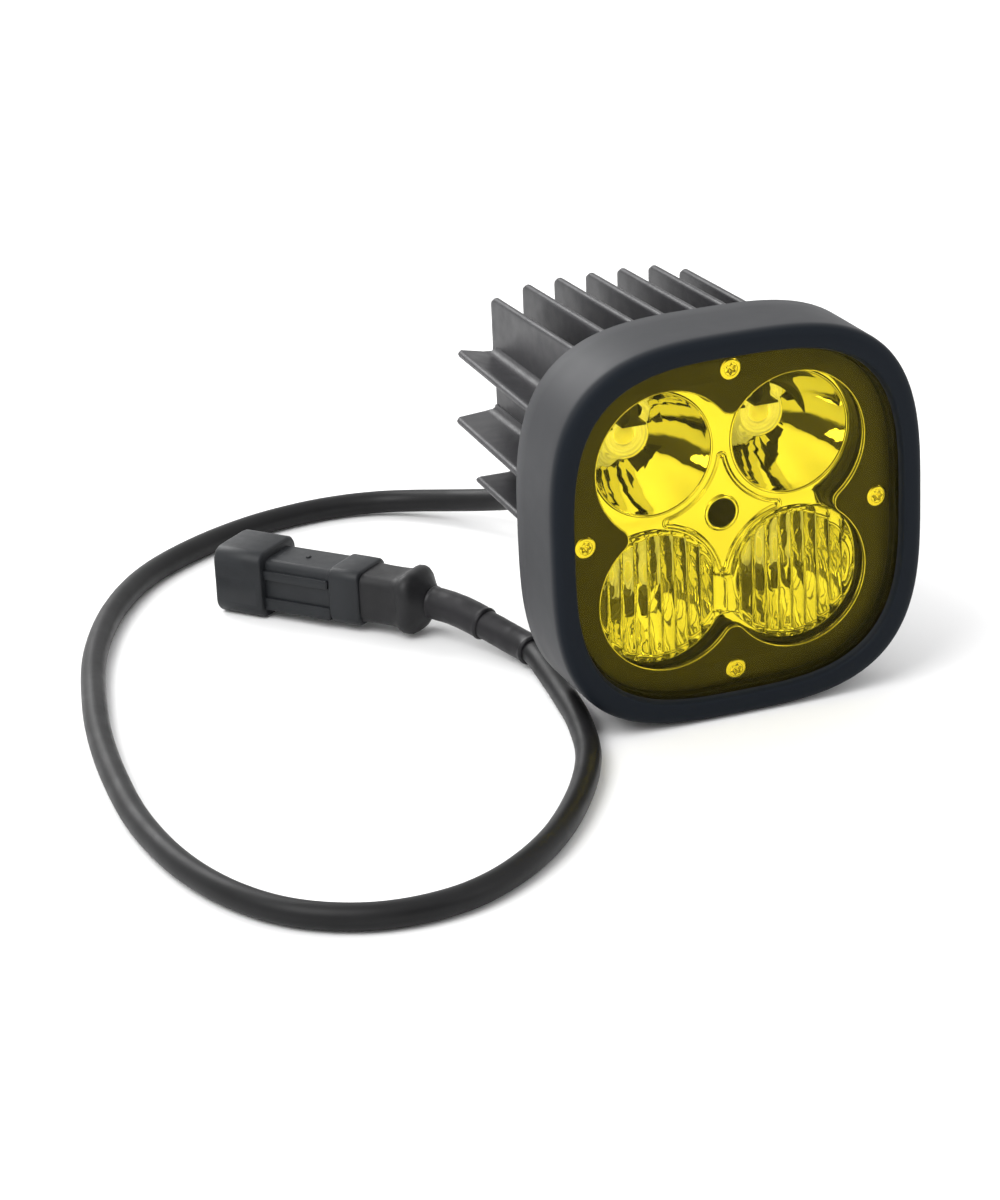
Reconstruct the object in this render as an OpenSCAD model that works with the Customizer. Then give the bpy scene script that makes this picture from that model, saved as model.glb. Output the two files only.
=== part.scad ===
// Square four-lamp fog light with a pull-off amber guard, a finned heat sink and a sealed two-pin lead.
// X runs to the right seen from the front, the light shines along -Y, Z is up.
// The origin is under the middle of the light, on the plane it stands on.

/* [Light] */
// Width and height of the front ring
light_w = 108; // [100:1:120]
// Depth from the ring's front face to the fin tips
light_d = 103.3; // [100:0.1:108]
// Superellipse exponent of the ring's rounded-square outline
ring_power = 3.2; // [2.6:0.1:4.5]

/* [Guard] */
// Depth of the guard's side wall
guard_d = 26.8; // [24:0.1:30]
// Wall thickness of the guard
guard_wall = 2.2; // [1.8:0.1:2.4]
// Half width of the guard's front opening
guard_open = 47.4; // [46.5:0.1:48]
// Thickness of the amber window
window_t = 1.6; // [1.2:0.1:1.6]

/* [Optics] */
// Distance of each lamp's axis from the centre, along X and along Z
lamp_off = 18.6; // [18:0.1:19]
// Offset of each lamp bowl from the centre, across and up
bowl_off = 20; // [19:0.1:20.5]
// Radius of the four lobes of the opening in the front plate
lobe_r = 20.8; // [20:0.1:21]
// Radius of the spot bowls at their rim
bowl_r = 16.8; // [15:0.1:17.4]
// Radius of the bowls at the emitter
throat_r = 6.2; // [5.5:0.1:7]
// Distance of the plate screws from the centre
screw_off = 42.75; // [42.5:0.05:43]
// Width of one flute on the wide-beam lenses
flute_w = 3.75; // [2.6:0.05:4]

/* [Heat sink] */
// Number of upright fins on the top and on the bottom
fin_count = 7; // [5:2:9]
// Spacing of the upright fins
fin_pitch = 9.75; // [9:0.05:9.9]
// Thickness of each fin
fin_t = 2.2; // [1.6:0.1:3]
// Half width of the solid core behind the ring
core_w = 31; // [31:0.5:34]
// Half height of the solid core
core_h = 24.5; // [24:0.5:27]

/* [Lead] */
// Diameter of the round lead
lead_dia = 7; // [6:0.5:7]
// Number of sides of the lead's tube
lead_sides = 10; // [8:1:12]

/* [Connector] */
// Side of the connector's square collar
collar_s = 20.5; // [19:0.5:22]

/* [Hidden] */
$fn = 64;

// Every depth below is measured back from the ring's front face.
front_y = -light_d / 2;
axis_z = light_w / 2;
half = light_w / 2;

// Running gap between the guard and the light
gap = 0.3;
guard_in = half - guard_wall;
pocket_half = guard_open + 1.8;
window_d = 2.5;
pad_t = 1;
rim_half = guard_in - pad_t - gap;

// Depths of the stack behind the window
plate_d = 6.25;
face_d = 7.95;
lens_back_d = 10.35;
gasket_back_d = 11.35;
optic_d = 13.15;
optic_back_d = 31.05;
well_d = 25;
board_d = 33.05;
board_t = 1.6;
pad_d = board_d + board_t;
thermal_t = 0.5;
floor_d = pad_d + thermal_t;

// Half widths of the seat for the plate and the depths of the casting's steps
plate_half = 46.5;
rim_back_d = 26.5;
shoulder_half = 36;
shoulder_back_d = 41.65;
core_back_d = light_d - 3;

// Fin envelope at the tips, a superellipse that widens slightly towards the ring
env_w = 42.4;
env_h = 44.4;
env_power = 3.8;
env_flare = 0.05;
fin_tip_r = 3;
// Heights above the axis, roots' tilts of the side fins
side_fins = [[24, 12], [6.8, -4], [-6.8, 0], [-24, -12]];
// Sloping cut across the lower back: starts here above the axis and runs forward by this much per mm
slant_top = 3;
slant_run = 1.65;

// Side mounts: tapped holes for M8 bracket bolts
mount_d = 40.25;
mount_boss_r = 7;
mount_out = 44;
mount_hole_r = 3.4;
mount_hole_len = 12;

// Driver pocket behind the emitter board
pocket_w = 28;
pocket_h = 42;
pocket_back_d = 50.65;
driver_d = 45.65;

// Cable gland on the lower back
gland_z = -18;
gland_boss_r = 11;
gland_boss_d = 58.05;
gland_face_d = 73.65;
gland_exit_d = 85.15;
lead_r = lead_dia / 2;

// Connector frame: where the lead enters it and which way it points
conn_at = [-56, 41];
conn_turn = 130;
conn_z = collar_s / 2;

// Route of the lead from the gland, round on the table, to the connector
route = [[0, 29, 36], [0, 38, 36], [0, 50, 34.5], [0, 62, 31.5], [-0.5, 74, 26.5], [-1.5, 86, 20.5],
    [-3.5, 98, 15], [-6.7, 109.4, 11], [-12.3, 119.9, 8.2], [-19.3, 129.4, 6.2], [-27.5, 138, 4.7],
    [-36.5, 143.8, 3.9], [-48, 146.8, 3.55], [-62, 146.5, 3.5], [-79.5, 142.3, 3.5],
    [-98.5, 133.2, 3.5], [-116.7, 119.9, 3.5], [-130, 104.5, 3.5], [-141.5, 85, 3.5], [-151.5, 61, 3.5],
    [-158.7, 35.5, 3.5], [-164.6, 8, 3.5], [-168.5, -22, 3.5], [-170, -52, 3.5], [-167.2, -80.3, 3.5],
    [-160, -102.5, 3.5], [-149, -118, 3.5], [-133, -127.2, 3.5], [-115, -128.3, 3.5], [-98, -122, 3.5],
    [-80, -107.7, 3.5], [-64, -87.3, 3.5], [-52, -65.5, 3.5], [-45.4, -43.7, 3.5], [-42.2, -25, 3.6],
    [-40.2, -7.8, 4.2], [-39.4, 5.3, 4.9], [-42.2, 14.3, 6], [-46.3, 23.4, 7.8], [-50.8, 32.3, 9.6],
    [-56, 41, 10.25]];
// Last route points, counted from the end, under the two heat-shrink sleeves
sleeve_small_from = 4;
sleeve_large_from = 2;
sleeve_small_r = 4.3;
sleeve_large_r = 4.8;

// ---------- outlines and placing ----------

// Points of a superellipse, a rounded square with softly bowed sides
function squircle(a, b, power, count) = [for (i = [0 : count - 1])
    let (t = 360 * i / count, c = cos(t), s = sin(t))
    [a * sign(c) * pow(abs(c), 2 / power), b * sign(s) * pow(abs(s), 2 / power)]];

module ring_outline(a) {
    polygon(squircle(a, a, ring_power, 96));
}

// Extrudes an outline drawn as seen from the front between two depths
module slab(d0, d1) {
    translate([0, front_y + d1, axis_z])
        rotate([90, 0, 0])
            linear_extrude(d1 - d0)
                children();
}

// Puts a body turned about its own Z axis on an axis that runs back from the front
module turned(x, z, d) {
    translate([x, front_y + d, axis_z + z])
        rotate([-90, 0, 0])
            children();
}

// One quarter of the clover outline: a round lobe, then the fillet in the valley beside it
lobe_steps = 22;
valley_steps = 6;
function clover_quarter(r, fillet, rise, lean) = concat(
    [for (i = [0 : lobe_steps]) let (a = lean - 90 + i * (270 - 2 * lean) / lobe_steps)
        [lamp_off + r * cos(a), lamp_off + r * sin(a)]],
    [for (i = [1 : valley_steps - 1]) let (a = -lean - i * (180 - 2 * lean) / valley_steps)
        [fillet * cos(a), lamp_off + rise + fillet * sin(a)]]);

// Four overlapping round lobes with filleted valleys
module clover(r, fillet) {
    rise = sqrt(pow(r + fillet, 2) - pow(lamp_off, 2));
    lobe = clover_quarter(r, fillet, rise, atan2(rise, lamp_off));
    polygon([for (q = [0 : 90 : 270], p = lobe)
        [p[0] * cos(q) - p[1] * sin(q), p[0] * sin(q) + p[1] * cos(q)]]);
}

// ---------- guard ----------

module guard_frame() color("#2b2c30") {
    crown = [[0, 1, 1.4], [1, 2.2, 0.6]];
    difference() {
        union() {
            for (step = crown)
                slab(step[0], step[1])
                    ring_outline(half - step[2]);
            slab(crown[1][1], guard_d)
                ring_outline(half);
        }
        slab(-1, window_d + 0.01)
            ring_outline(guard_open);
        slab(window_d, face_d)
            ring_outline(pocket_half);
        slab(face_d - gap, guard_d + 1)
            ring_outline(guard_in);
    }
}

module amber_window() color("#ffd21f", 0.55) {
    slab(window_d, window_d + window_t)
        ring_outline(pocket_half - 0.05);
}

module window_gasket() color("#151515") {
    slab(window_d + window_t, face_d - gap)
        difference() {
            ring_outline(pocket_half - 0.05);
            ring_outline(plate_half + gap);
        }
}

module guard_pads() color("#1b1b1d") {
    pad_l = 22;
    intersection() {
        slab(face_d + 6, guard_d - 6)
            difference() {
                ring_outline(guard_in);
                ring_outline(guard_in - pad_t);
            }
        slab(face_d, guard_d) {
            square([light_w, pad_l], center = true);
            square([pad_l, light_w], center = true);
        }
    }
}

// ---------- housing ----------

// Half height of the fin envelope at the tips, for an upright fin at x
function env_top(x) = env_h * pow(1 - pow(abs(x) / env_w, env_power), 1 / env_power);
// Half width of the fin envelope at the tips, for a side fin at height z
function env_side(z) = env_w * pow(1 - pow(abs(z) / env_h, env_power), 1 / env_power);
// Side view of a fin: depth along the first axis, height from the root along the second
function fin_outline(tip) = concat(
    [[rim_back_d, core_h], [rim_back_d, tip * (1 + env_flare)]],
    [for (a = [90 : -15 : 0])
        [light_d + fin_tip_r * (cos(a) - 1), tip + fin_tip_r * (sin(a) - 1)]],
    [[light_d, core_h + 1.5], [core_back_d, core_h]]);

module upright_fins() {
    for (i = [0 : fin_count - 1]) {
        x = (i - (fin_count - 1) / 2) * fin_pitch;
        translate([x - fin_t / 2, front_y, axis_z])
            rotate([90, 0, 90])
                linear_extrude(fin_t)
                    polygon(fin_outline(env_top(x)));
    }
}

module side_fin(z, tilt) {
    tip = env_side(z);
    translate([core_w - 1, front_y, axis_z + z])
        rotate([0, -tilt, 0])
            translate([0, 0, -fin_t / 2])
                linear_extrude(fin_t)
                    polygon([[-3, rim_back_d], [tip * (1 + env_flare) - core_w, rim_back_d],
                        [tip - core_w + 1, light_d - 1.2], [tip - core_w + 0.2, light_d],
                        [tip - core_w - 3, light_d], [0, core_back_d], [-3, core_back_d]]);
}

module shoulder() {
    slab(rim_back_d, shoulder_back_d)
        ring_outline(shoulder_half);
}

module fins_top() color("#38383e")
    difference() {
        upright_fins();
        shoulder();
    }

module fins_bottom() color("#38383e")
    difference() {
        translate([0, 0, 2 * axis_z])
            mirror([0, 0, 1])
                upright_fins();
        shoulder();
        slant_cut();
    }

module fins_sides() color("#38383e")
    difference() {
        for (f = side_fins) {
            side_fin(f[0], f[1]);
            mirror([1, 0, 0])
                side_fin(f[0], f[1]);
        }
        slab(rim_back_d - 1, light_d + 1)
            square([2 * core_w, light_w], center = true);
        shoulder();
        slant_cut();
        // the middle fins stop behind the side mounts
        slab(rim_back_d - 1, mount_d + mount_boss_r + 1.5)
            square([light_w, 2 * mount_boss_r + 5], center = true);
    }

// Sloping cut that clears the lower back
module slant_cut() {
    top_z = axis_z + slant_top;
    far = light_d / 2 + 5;
    translate([-half, 0, 0])
        rotate([90, 0, 90])
            linear_extrude(light_w)
                polygon([[light_d / 2, top_z], [light_d / 2 - slant_run * top_z, 0], [far, 0], [far, top_z]]);
}

// Round bars on the side mounts' axis, reaching out from the core's sides
module mount_seats(r, reach) {
    for (side = [-1, 1])
        translate([side * core_w, front_y + mount_d, axis_z])
            rotate([0, side * 90, 0])
                cylinder(r = r, h = reach);
}

// Threaded steel inserts pressed into the casting's sides
module mount_inserts() color("#8f9094")
    difference() {
        mount_seats(mount_boss_r, mount_out - core_w);
        for (side = [-1, 1])
            translate([side * (mount_out - mount_hole_len), front_y + mount_d, axis_z])
                rotate([0, side * 90, 0])
                    cylinder(r = mount_hole_r, h = mount_hole_len + 1);
    }

module housing() color("#34343a") {
    difference() {
        union() {
            slab(face_d, rim_back_d)
                ring_outline(rim_half);
            difference() {
                union() {
                    shoulder();
                    slab(rim_back_d, core_back_d)
                        square([2 * core_w, 2 * core_h], center = true);
                }
                slant_cut();
            }
            turned(0, gland_z, gland_boss_d)
                cylinder(r = gland_boss_r, h = gland_face_d - gland_boss_d);
        }
        // round spot face that clears the gland
        turned(0, gland_z, gland_face_d)
            cylinder(r = gland_boss_r, h = light_d - gland_face_d);
        mount_seats(mount_boss_r + 0.05, mount_out - core_w + 5);
        // lens seat, reflector well, emitter board well and driver pocket
        slab(face_d - 1, gasket_back_d)
            clover(lobe_r + 3.2, 2);
        slab(gasket_back_d - 0.01, well_d)
            clover(lobe_r + 1.4, 2);
        slab(well_d - 0.1, floor_d)
            square(59, center = true);
        slab(floor_d - 0.01, pocket_back_d)
            square([pocket_w, pocket_h], center = true);
        // tapped holes: plate screws, board screws, reflector screw
        for (a = [0 : 90 : 270])
            turned(screw_off * cos(a), screw_off * sin(a), face_d - 1)
                cylinder(r = 1.7, h = 12);
        for (x = [-1, 1], z = [-1, 1])
            turned(x * 26, z * 10, floor_d - 1)
                cylinder(r = 1.5, h = 9);
        // wire passage, gland thread and vent thread
        turned(0, gland_z, pocket_back_d - 1)
            cylinder(r = 3, h = 20);
        turned(0, gland_z, gland_face_d - 10)
            cylinder(r = 6, h = 11);
        turned(0, 14, core_back_d - 8)
            cylinder(r = 2.5, h = 9);
    }
}

// ---------- front ----------

module retainer_plate() color("#26262a") {
    difference() {
        slab(plate_d, face_d)
            difference() {
                ring_outline(plate_half);
                clover(lobe_r, 3.1);
            }
        for (a = [0 : 90 : 270])
            turned(screw_off * cos(a), screw_off * sin(a), plate_d - 0.01) {
                cylinder(r1 = 3.2, r2 = 1.9, h = 1.4);
                cylinder(r = 1.8, h = 3);
            }
    }
}

module plate_screws() color("#b9b7b2") {
    for (a = [0 : 90 : 270])
        turned(screw_off * cos(a), screw_off * sin(a), plate_d + 0.1)
            difference() {
                union() {
                    cylinder(r1 = 3, r2 = 1.7, h = 1.4);
                    cylinder(r = 1.7, h = 11);
                }
                translate([0, 0, -1])
                    cylinder(r = 1.35, h = 2.2, $fn = 6);
            }
}

module clear_lens() color("#e8eef0", 0.3) {
    slab(plate_d + 0.6, face_d + 0.2)
        clover(lobe_r - 0.1, 3.2);
    slab(face_d + 0.1, lens_back_d)
        clover(lobe_r + 3, 2.2);
}

module lens_gasket() color("#1a1a1a") {
    slab(lens_back_d, gasket_back_d)
        difference() {
            clover(lobe_r + 3, 2.2);
            clover(lobe_r + 1.3, 2.4);
        }
}

module lamp_shroud() color("#1d1d20") {
    slab(lens_back_d + 0.1, optic_d - 0.1)
        difference() {
            clover(lobe_r + 1.2, 2.5);
            clover(lobe_r, 3.1);
        }
}

// ---------- optics ----------

// Half section of a parabolic bowl, rim at zero depth
bowl_deep = optic_back_d - optic_d;
function bowl_profile(rim) = concat([[0, -0.5], [rim, -0.5]],
    [for (i = [0 : 8]) let (r = rim + (throat_r - rim) * i / 8)
        [r, bowl_deep * (1 - (r * r - throat_r * throat_r) / (rim * rim - throat_r * throat_r))]],
    [[throat_r, bowl_deep + 1], [0, bowl_deep + 1]]);

module reflector() color("#d9d9dc") {
    difference() {
        union() {
            slab(optic_d, well_d - 0.4)
                clover(lobe_r + 1.2, 2.5);
            slab(well_d - 0.5, optic_back_d)
                square(58, center = true);
            turned(0, 0, optic_back_d - 1)
                cylinder(r = 4.6, h = board_d - optic_back_d + 1);
        }
        for (x = [-1, 1], z = [-1, 1])
            turned(x * bowl_off, z * bowl_off, optic_d)
                rotate_extrude()
                    polygon(bowl_profile(bowl_r));
        turned(0, 0, optic_d - 1)
            cylinder(r = 3.9, h = 15.5);
        turned(0, 0, optic_d)
            cylinder(r = 1.6, h = 30);
    }
}

module wide_lens(side) {
    crest = lens_back_d + 0.1;
    face = crest + 0.6;
    wide_r = bowl_off - 1.7;
    flute_r = flute_w / 2 + 0.05;
    rows = floor((2 * wide_r) / flute_w);
    low = axis_z - 2.2 * bowl_off;
    turned(side * bowl_off, -bowl_off, face)
        cylinder(r = wide_r, h = optic_d - face);
    intersection() {
        turned(side * bowl_off, -bowl_off, crest - 0.05)
            cylinder(r = wide_r, h = 1.05);
        for (i = [0 : rows])
            translate([side * bowl_off + (i - rows / 2) * flute_w, front_y + crest + flute_r, low])
                cylinder(r = flute_r, h = 2.4 * bowl_off);
    }
}

module wide_lens_left() color("#e9e9ee", 0.6)
    wide_lens(-1);

module wide_lens_right() color("#e9e9ee", 0.6)
    wide_lens(1);

module reflector_screw() color("#55565a") {
    head_d = optic_d + 14.5;
    turned(0, 0, head_d - 2.2)
        difference() {
            cylinder(r = 2.9, h = 2.2);
            translate([0, 0, -1])
                cylinder(r = 1.3, h = 2.3, $fn = 6);
        }
    turned(0, 0, head_d)
        cylinder(r = 1.5, h = pad_d - head_d - 0.2);
}

// ---------- emitters and driver ----------

module board_hole(x, z, r) {
    turned(x, z, board_d - 1)
        cylinder(r = r, h = 5);
}

module led_board() color("#e4e2da") {
    difference() {
        slab(board_d, board_d + board_t)
            square(58, center = true);
        board_hole(0, 0, 1.7);
        for (x = [-1, 1], z = [-1, 1])
            board_hole(x * 26, z * 10, 1.7);
    }
}

module led_emitters() color("#f3e36a") {
    for (x = [-1, 1], z = [-1, 1]) {
        slab(board_d - 1, board_d)
            translate([x * bowl_off, z * bowl_off])
                square(7, center = true);
        turned(x * bowl_off, z * bowl_off, board_d - 1)
            rotate([180, 0, 0])
                rotate_extrude()
                    polygon(concat([[0, -0.1]], [for (a = [0 : 15 : 90]) [2.6 * cos(a), 2.2 * sin(a)]]));
    }
}

module thermal_pad() color("#8f9aa6") {
    difference() {
        slab(pad_d, floor_d)
            difference() {
                square(58, center = true);
                square([pocket_w, pocket_h], center = true);
            }
        for (x = [-1, 1], z = [-1, 1])
            board_hole(x * 26, z * 10, 1.8);
    }
}

module board_screws() color("#a9a9ad") {
    for (x = [-1, 1], z = [-1, 1])
        turned(x * 26, z * 10, board_d - 1.6)
            difference() {
                union() {
                    cylinder(r = 2.5, h = 1.6);
                    cylinder(r = 1.45, h = 9);
                }
                translate([0, 0, -1])
                    cylinder(r = 1.1, h = 1.9, $fn = 6);
            }
}

module driver_board() color("#2c6b3f") {
    slab(driver_d, driver_d + 1.6)
        square([pocket_w - 1, pocket_h - 1], center = true);
}

module driver_parts() color("#3c3c3c") {
    turned(0, 8, driver_d - 6)
        cylinder(r = 5.5, h = 6);
    for (x = [-1, 1])
        turned(x * 8, -5, driver_d - 7)
            cylinder(r = 3.1, h = 7);
    slab(driver_d - 1.6, driver_d)
        translate([0, -12])
            square([8, 5], center = true);
}

module driver_wires() color("#c23b2e") {
    for (x = [-9, 9])
        turned(x, 17, pad_d)
            cylinder(r = 0.9, h = driver_d - pad_d);
}

// ---------- back ----------

module vent_plug() color("#202022") {
    turned(0, 14, core_back_d)
        cylinder(r = 5, h = 1.6);
    turned(0, 14, core_back_d - 6)
        cylinder(r = 2.45, h = 6.1);
}

module gland_body() color("#242427") {
    difference() {
        union() {
            turned(0, gland_z, gland_face_d - 9)
                cylinder(r = 5.95, h = 9);
            turned(0, gland_z, gland_face_d)
                cylinder(r = 9.6, h = 3, $fn = 6);
            turned(0, gland_z, gland_face_d + 2.9)
                cylinder(r = 5.6, h = 4.6);
        }
        turned(0, gland_z, gland_face_d - 10)
            cylinder(r = 3, h = 12);
        turned(0, gland_z, gland_face_d + 1)
            cylinder(r = 4.7, h = 8);
    }
}

module gland_seal() color("#141414") {
    turned(0, gland_z, gland_face_d + 1)
        difference() {
            cylinder(r = 4.7, h = 6.5);
            translate([0, 0, -1])
                cylinder(r = lead_r, h = 9);
        }
}

module gland_nut() color("#1f1f22") {
    turned(0, gland_z, gland_face_d + 3.2)
        difference() {
            union() {
                cylinder(r = 8.6, h = 5.3, $fn = 6);
                translate([0, 0, 5.2])
                    cylinder(r1 = 7.3, r2 = 5.6, h = gland_exit_d - gland_face_d - 8.4);
            }
            translate([0, 0, -1])
                cylinder(r = 5.7, h = 5.6);
            translate([0, 0, -1])
                cylinder(r = lead_r + 0.15, h = 12);
        }
}

module lead_cores() color("#d8d8d8") {
    for (x = [-1, 1])
        turned(x * 1.3, gland_z, driver_d + 1.6)
            cylinder(r = 1.1, h = route[0][1] - front_y - driver_d - 1.6);
}

// ---------- lead ----------

function unit(v) = v / norm(v);
// A point on the smooth curve through the route, at whole and fractional route numbers
function along(p, u) = let (n = len(p) - 1, i = min(floor(u), n - 1), t = u - i,
    a = p[max(i - 1, 0)], b = p[i], c = p[i + 1], d = p[min(i + 2, n)])
    0.5 * (2 * b + (c - a) * t + (2 * a - 5 * b + 4 * c - d) * t * t + (3 * b - a - 3 * c + d) * t * t * t);
function heading(p, u) = unit(along(p, min(u + 0.01, len(p) - 1)) - along(p, max(u - 0.01, 0)));
// Ring of points square to the curve
function hoop(p, u, r, sides) =
    let (o = along(p, u), t = heading(p, u), s = unit(cross(t, [0, 0, 1])), v = cross(s, t))
    [for (k = [0 : sides - 1]) o + r * (cos(360 * k / sides) * s + sin(360 * k / sides) * v)];

// Round tube swept along part of the route, from route number u0 to u1
module tube(u0, u1, r, count, sides) {
    hoops = [for (i = [0 : count]) each hoop(route, u0 + (u1 - u0) * i / count, r, sides)];
    side_faces = [for (i = [0 : count - 1], k = [0 : sides - 1])
        let (a = i * sides + k, b = i * sides + (k + 1) % sides) [a, b, b + sides, a + sides]];
    ends = [[for (k = [sides - 1 : -1 : 0]) k], [for (k = [0 : sides - 1]) count * sides + k]];
    polyhedron(points = hoops, faces = concat(side_faces, ends), convexity = 6);
}

route_end = len(route) - 1;

module lead() color("#1c1c1e")
    tube(0, route_end, lead_r, 80, lead_sides);

module sleeve_small() color("#17171a")
    difference() {
        tube(route_end - sleeve_small_from, route_end - sleeve_large_from, sleeve_small_r, 6, 12);
        tube(route_end - sleeve_small_from - 0.2, route_end - sleeve_large_from + 0.2, lead_r + 0.05, 6, 12);
    }

module sleeve_large() color("#19191b")
    difference() {
        tube(route_end - sleeve_large_from, route_end, sleeve_large_r, 6, 12);
        tube(route_end - sleeve_large_from - 0.2, route_end, lead_r + 0.05, 8, 12);
    }

// ---------- connector ----------

// Square bar with rounded corners along the connector's own axis
module bar(x0, x1, w, h, r) {
    translate([x0, 0, 0])
        rotate([90, 0, 90])
            linear_extrude(x1 - x0)
                polygon(rounded(w / 2, h / 2, r));
}
function rounded(a, b, r) = [for (q = [0 : 3], s = [0 : 15 : 90])
    let (t = 90 * q + s, cx = (q == 0 || q == 3) ? a - r : r - a, cz = (q < 2) ? b - r : r - b)
    [cx + r * cos(t), cz + r * sin(t)]];

// Stations along the connector: boot bead, boot, shell ring, latch rails, collar, mouth
bead_x = 3;
boot_x = 8;
ring_x = 20;
rail_x = 30;
collar_x = 52;
mouth_x = 68;
body_s = 14.8;
// Lower edge and height of the rails on each side of the body
latch_rails = [[1.9, 2.8], [-7.5, 3.8]];

module plugged() {
    translate([conn_at[0], conn_at[1], conn_z])
        rotate([0, 0, conn_turn])
            children();
}

module connector_boot() color("#242427")
    plugged() {
        difference() {
            union() {
                rotate([0, 90, 0])
                    cylinder(r1 = 5.6, r2 = 8, h = bead_x);
                bar(bead_x, boot_x, 17.6, 18.6, 6);
                bar(boot_x, ring_x, 14.4, 14.8, 3);
            }
            translate([-1, 0, 0])
                rotate([0, 90, 0])
                    cylinder(r = lead_r, h = 3);
        }
    }

module connector_shell() color("#2b2c2f")
    plugged()
        difference() {
            union() {
                bar(ring_x, rail_x, 16.6, 17, 3);
                bar(rail_x, collar_x, body_s, body_s + 0.6, 2);
                for (y = [-1, 1], rail = latch_rails)
                    translate([rail_x, y * (body_s / 2 - 1) - 2, rail[0]])
                        cube([collar_x - rail_x, 4, rail[1]]);
                bar(collar_x, mouth_x, collar_s, collar_s, 4);
            }
            bar(collar_x + 1, mouth_x + 1, collar_s - 3.4, collar_s - 3.4, 2.6);
            bar(ring_x + 6, collar_x + 2, 10, 10, 2);
        }

module connector_seal() color("#b5532c")
    plugged()
        difference() {
            bar(collar_x + 1, collar_x + 3, collar_s - 3.5, collar_s - 3.5, 2.6);
            bar(collar_x, collar_x + 4, 11, 11, 2);
        }

module connector_wedge() color("#6f7378")
    plugged()
        difference() {
            bar(collar_x - 6, collar_x + 5, 9.8, 9.8, 1.9);
            for (z = [-1, 1])
                translate([collar_x - 7, 0, z * 2.6])
                    rotate([0, 90, 0])
                        cylinder(r = 1.1, h = 14);
        }

module contact_pins() color("#c9a24a")
    plugged()
        for (z = [-1, 1])
            translate([ring_x + 6, 0, z * 2.6]) {
                rotate([0, 90, 0])
                    cylinder(r = 1.05, h = 32);
                translate([32, 0, 0])
                    sphere(r = 1.05, $fn = 24);
            }

guard_frame();
amber_window();
window_gasket();
guard_pads();
housing();
fins_top();
fins_bottom();
fins_sides();
mount_inserts();
retainer_plate();
plate_screws();
clear_lens();
lens_gasket();
lamp_shroud();
reflector();
wide_lens_left();
wide_lens_right();
reflector_screw();
led_board();
led_emitters();
thermal_pad();
board_screws();
driver_board();
driver_parts();
driver_wires();
vent_plug();
gland_body();
gland_seal();
gland_nut();
lead_cores();
lead();
sleeve_small();
sleeve_large();
connector_boot();
connector_shell();
connector_seal();
connector_wedge();
contact_pins();
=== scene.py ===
"""Looks of the square four-lamp fog light: its guard, optics, heat sink, lead and connector.

Run as a script in Blender 4.5. Every builder below works in millimetres in the model's own frame:
X to the right seen from the front, the light shines along -Y, Z is up.
"""

import math

import bmesh
import bpy
from bpy.props import FloatProperty, FloatVectorProperty, IntProperty, PointerProperty
from mathutils import Matrix, Vector, noise


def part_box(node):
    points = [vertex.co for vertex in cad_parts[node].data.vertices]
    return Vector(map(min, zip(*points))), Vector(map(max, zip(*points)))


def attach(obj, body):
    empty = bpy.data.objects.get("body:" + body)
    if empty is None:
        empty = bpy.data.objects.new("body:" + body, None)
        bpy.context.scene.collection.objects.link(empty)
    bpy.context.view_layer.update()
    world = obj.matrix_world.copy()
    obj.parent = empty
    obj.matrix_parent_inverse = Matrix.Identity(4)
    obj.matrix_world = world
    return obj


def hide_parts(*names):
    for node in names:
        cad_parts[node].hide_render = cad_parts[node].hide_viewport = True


bl_info = {
    "name": "Fog light looks",
    "version": (1, 0, 0),
    "blender": (4, 5, 0),
    "location": "3D View > Sidebar > Fog light",
    "description": "Builds the visible pieces of a square four-lamp fog light around its packed frame",
    "category": "Object",
}

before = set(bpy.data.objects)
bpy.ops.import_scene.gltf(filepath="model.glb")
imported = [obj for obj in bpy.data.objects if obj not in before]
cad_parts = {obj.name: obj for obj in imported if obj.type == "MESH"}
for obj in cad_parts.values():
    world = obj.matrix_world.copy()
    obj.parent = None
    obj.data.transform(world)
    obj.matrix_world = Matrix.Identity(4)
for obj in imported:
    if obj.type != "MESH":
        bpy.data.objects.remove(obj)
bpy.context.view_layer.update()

MM = 0.001


def span(node):
    """Lowest and highest corner of a node, in millimetres."""
    low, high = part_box(node)
    return low / MM, high / MM


RING_LOW, RING_HIGH = span("guard_frame")
# Depths are counted back from a datum this far ahead of the front plate
DATUM_AHEAD = 4.6
FRONT = span("retainer_plate")[0].y - DATUM_AHEAD
NOSE = RING_LOW.y - FRONT
AXIS = (RING_LOW.z + RING_HIGH.z) / 2
HALF = (RING_HIGH.x - RING_LOW.x) / 2
GUARD_DEPTH = RING_HIGH.y - RING_LOW.y
RING_POWER = 3.2


def depths(node):
    """Front and back depth of a node behind the datum, in millimetres."""
    low, high = span(node)
    return low.y - FRONT, high.y - FRONT


def half_width(node):
    low, high = span(node)
    return (high.x - low.x) / 2


# ---------- sizes and colours that a user would change ----------

def length(name, text, default):
    return FloatProperty(name=name, description=text, default=default, unit="LENGTH", subtype="DISTANCE")


def tone(name, text, default):
    return FloatVectorProperty(name=name, description=text, default=default, size=3, min=0, max=1,
                               subtype="COLOR")


class LeadSettings(bpy.types.PropertyGroup):
    """Sizes of the lead and its sleeves"""
    diameter: length("Diameter", "Outer diameter of the round lead", 0.007)
    small_sleeve: length("Small sleeve radius", "Radius of the thinner heat-shrink sleeve", 0.0043)
    large_sleeve: length("Large sleeve radius", "Radius of the thicker heat-shrink sleeve", 0.0048)


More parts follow.
